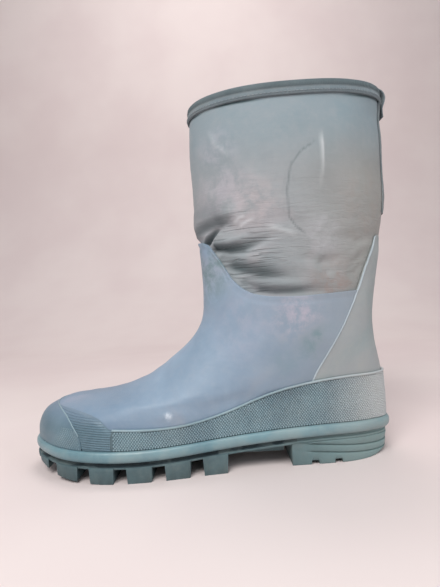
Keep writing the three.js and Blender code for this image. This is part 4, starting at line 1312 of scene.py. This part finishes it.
outerProfile = [(1.6, -9), (0.6, -9), (0.1, -8.6), (0, -6.6), (0.1, -4.6), (0.75, -4.0), (0.1, -3.3),
                (-0.35, -1.4), (-0.1, 0.6), (1.0, 1.7), (2.6, 1.95)]
innerProfile = [(-2.6, 1.95), (-1.0, 1.6), (-0.1, 0.6), (0, -1), (0, -8.4), (-0.5, -9), (-1.5, -9),
                (-1.6, 0.3)]
profile = [(collarOuter + further, height) for further, height in outerProfile]
profile += [(collarInner + further, height) for further, height in innerProfile] + [(collarOuter + 1.6, 0.3)]
rings = [collarRow(depth, height) for depth, height in profile]
binding = meshObject("collarBinding", np.concatenate(rings),
                     gridFaces(len(rings), collarLook["columns"], True, True), materials["webbing"])
rimFaces = range(6, 13)  # the rows of the section that go over the rim
# the rows over the rim take the darker copy of the tape's colour: painted shade on the roll, which curves
# away from the light
binding.data.materials.append(materials["rim"])
for poly in binding.data.polygons:
    if poly.index // collarLook["columns"] in rimFaces:
        poly.material_index = 1
rides(binding, "shaft", "webbing", "collar_binding")


# A stitch's shape: a small ball drawn out along X
def stitchShape(length, radius, sides=8):
    points, faces = [], []
    for k in range(sides + 1):
        a = math.pi * k / sides
        for j in range(sides):
            b = 2 * math.pi * j / sides
            wide = radius * math.sin(a)
            points.append((-(length / 2) * math.cos(a), wide * math.cos(b), wide * math.sin(b)))
    for k in range(sides):
        for j in range(sides):
            here, after = k * sides, (k + 1) * sides
            faces.append((here + j, here + (j + 1) % sides, after + (j + 1) % sides, after + j))
    return templateObject("stitchShape", points, faces)


# Stitches along a closed line, evenly spaced
def stitched(name, line, normals, look, material):
    line, normals = np.concatenate([line, line[:1]]), np.concatenate([normals, normals[:1]])
    run = runAlong(line)
    count = int(run[-1] / look["stitchPitch"])
    at = (np.arange(count) + 0.5) * run[-1] / count

    def read(values, at):
        return np.stack([np.interp(at, run, values[:, k]) for k in range(3)], -1)

    shape = stitchShape(look["stitchLength"], look["stitchRadius"])
    alongs = read(line, at + 0.5) - read(line, at - 0.5)
    obj = scattered(name, read(line, at), alongs, read(normals, at), (1, 1, 1), shape, material)
    bpy.data.objects.remove(shape)
    return obj


step = crossing(turns, collarOuter, above(topLine, collarLook["stitchHeight"]))
seam = surfacePoint(step, turns, collarOuter + collarLook["stitchSunk"])
stitches = stitched("collarStitches", seam, normalAt(step, turns), collarLook, materials["thread"])
rides(stitches, "shaft", "webbing", "collar_thread")

# The tape down the back, over the neoprene
tapeLook = {"columns": 31, "halfTurn": 0.056, "bottom": 196, "underRim": -9.8, "outer": 1.3, "inner": 0.3,
            "rows": 60, "backs": 30, "rim": 0.3}
turns = np.linspace(-tapeLook["halfTurn"], tapeLook["halfTurn"], tapeLook["columns"])
tapeOuter = neopreneOuter - tapeLook["outer"]
lower = crossing(turns, neopreneOuter, lambda x, z: z - tapeLook["bottom"])
upper = crossing(turns, neopreneOuter, above(topLine, tapeLook["underRim"]))
rows = wallRows(turns, lower, upper, tapeOuter, neopreneOuter - tapeLook["inner"], even(tapeLook["rows"]),
                foldBump, tapeLook["backs"], tapeLook["rim"], foldBump)
tape = wallObject("backTape", turns, rows, materials["webbing"], False)
bends(tape, "webbing", "back_tape")

# The pull loop, a strap from inside the collar over the rim to the tape
loopLook = {"width": 13, "wall": 1.4, "rise": 7.5, "reach": 5, "tail": 18, "rimX": 157, "steps": 90,
            "round": 0.25, "inside": 0.3, "onTape": 0.45, "collarRadius": 45}
rim = float(topLine(loopLook["rimX"]))


# How far back the boot's back reaches at a height, at a depth
def backAt(height, depth):
    step = crossing(np.zeros(1), depth, lambda x, z: z - height)
    return float(surfacePoint(step, np.zeros(1), depth)[0, 0])


thick = loopLook["wall"] / 2


def tapeX(height):
    return backAt(height, tapeOuter) + loopLook["onTape"] + thick


# Inside, the flat strap spans the collar's curve, so it stands off by the height of that arc
spanned = loopLook["width"] ** 2 / 8 / loopLook["collarRadius"]
inside = backAt(rim - 1, collarInner) - loopLook["inside"] - thick - spanned
outside = backAt(rim - 1, collarOuter)
tail = rim - loopLook["tail"]
loopPath = [(inside - 0.5, rim - 12), (inside - 0.2, rim - 1), (inside, rim + 3), (inside + 2.4, rim + 5.7),
            (inside + 6.4, rim + loopLook["rise"] - thick), (outside + 2, rim + 3.9),
            (outside + loopLook["reach"] - thick, rim - 1), (outside + 3.4, rim - 6),
            (tapeX(rim - 11) + 0.3, rim - 11), (tapeX(tail), tail)]
at = np.linspace(0, len(loopPath) - 1, loopLook["steps"])
path = np.stack([through(np.array([q[k] for q in loopPath], float), at) for k in (0, 1)], -1)
lead = np.gradient(path, axis=0)
out = np.stack([-lead[:, 1], lead[:, 0]], -1) / np.linalg.norm(lead, axis=1)[:, None]

# Its section is flat with rounded edges, as (across, through): one face and edge, and the same turned round
halfWidth, soft = loopLook["width"] / 2, loopLook["round"]
section = [(v * (halfWidth - soft), thick - soft * abs(v) ** 6) for v in np.linspace(-1, 1, 9)]
section += [(halfWidth, 0.3), (halfWidth, -0.3)]
section += [(-y, -d) for y, d in section]
grid = []
for y, d in section:
    q = path + out * d
    grid.append(np.stack([q[:, 0], np.full(len(q), y), q[:, 1]], -1))
grid = np.stack(grid, 1)
count = len(section)
faces = gridFaces(len(path), count, True, False)
faces += [list(range(count)), [(len(path) - 1) * count + k for k in reversed(range(count))]]
pull = meshObject("pullLoop", grid.reshape(-1, 3), faces, materials["webbing"])
rides(pull, "shaft", "webbing", "pull_loop")
print("collar, tape and pull loop made")

# Pieces that are hidden inside keep their solids
for node, key in (("midsole", "footbed"), ("insole_board", "board"), ("heel_stiffener", "board"),
                  ("shank", "steel")):
    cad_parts[node].data.materials.clear()
    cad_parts[node].data.materials.append(materials[key])


def floorMaterial():
    material = bpy.data.materials.new("floor")
    material.use_nodes = True
    n = Nodes(material.node_tree)
    shader = material.node_tree.nodes["Principled BSDF"]
    cloud = n.ramp(n.noise(n.place(), 3.0, 3.0), 0.3, 0.7)
    colour = n.mix(cloud, srgb(218, 204, 202), srgb(224, 212, 209))
    material.node_tree.links.new(colour, shader.inputs["Base Color"])
    shader.inputs["Roughness"].default_value = 0.9
    shader.inputs["Specular IOR Level"].default_value = 0.2
    return material


# The floor bends up into a wall behind the boot, in metres
floorLook = {"half": 3.0, "wall": 1.6, "bend": 0.9, "height": 3.5, "steps": 24}
bend, bendStart = floorLook["bend"], floorLook["wall"] - floorLook["bend"]
profile = [(-floorLook["half"], 0.0), (bendStart, 0.0)]
for k in range(1, floorLook["steps"]):
    a = math.pi / 2 * k / floorLook["steps"]
    profile.append((bendStart + bend * math.sin(a), bend * (1 - math.cos(a))))
profile.append((floorLook["wall"], floorLook["height"]))
mesh = bpy.data.meshes.new("floor")
mesh.from_pydata([(x, y, z) for y, z in profile for x in (-floorLook["half"], floorLook["half"])], [],
                 [(2 * k, 2 * k + 1, 2 * k + 3, 2 * k + 2) for k in range(len(profile) - 1)])
mesh.shade_smooth()
mesh.materials.append(floorMaterial())
floor = linked("floor", mesh)
floor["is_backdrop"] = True

world = bpy.data.worlds.new("world")
world.use_nodes = True
world.node_tree.nodes["Background"].inputs[0].default_value = (0.93, 0.95, 1.0, 1)
world.node_tree.nodes["Background"].inputs[1].default_value = 0.4
bpy.context.scene.world = world


def areaLight(name, place, target, size, power, colour):
    light = bpy.data.lights.new(name, "AREA")
    light.shape = "DISK"
    light.size = size
    light.energy = power
    light.color = colour
    obj = linked(name, light)
    obj.location = place
    obj.rotation_euler = (Vector(target) - Vector(place)).to_track_quat("-Z", "Y").to_euler()


areaLight("keyLight", (-0.35, -0.9, 1.12), (0, 0, 0.12), 0.8, 16, (1.0, 0.99, 0.98))
areaLight("fillLight", (0.9, -0.6, 0.7), (0, 0, 0.15), 0.6, 2.5, (0.95, 0.97, 1.0))
areaLight("backdropLight", (0, 0.5, 1.9), (0, 1.6, 0.5), 0.8, 12, (1.0, 0.97, 0.96))

# The camera looks level at the boot's outer side and is rolled a little
cameraLook = {"lens": 26, "sensor": 36, "place": (12.8, -363, 136.7), "roll": 3.0}
camera = bpy.data.cameras.new("camera")
camera.lens = cameraLook["lens"]
camera.sensor_width = cameraLook["sensor"]
camera.clip_start = 0.01
cameraObject = linked("camera", camera)
roll = math.radians(cameraLook["roll"])
right, upward = Vector((math.cos(roll), 0, -math.sin(roll))), Vector((math.sin(roll), 0, math.cos(roll)))
turned = Matrix((right, upward, right.cross(upward))).transposed().to_4x4()
cameraObject.matrix_world = Matrix.Translation(toFrame(cameraLook["place"])) @ turned
bpy.context.scene.camera = cameraObject
bpy.context.scene.view_settings.view_transform = "Standard"
print("floor, lights and camera set")

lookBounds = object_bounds()
corners = [corner for bounds in (cadBounds, lookBounds) for corner in bounds]
print("sizes in millimetres:", *[[round(float(v) * 1000, 1) for v in corner] for corner in corners])
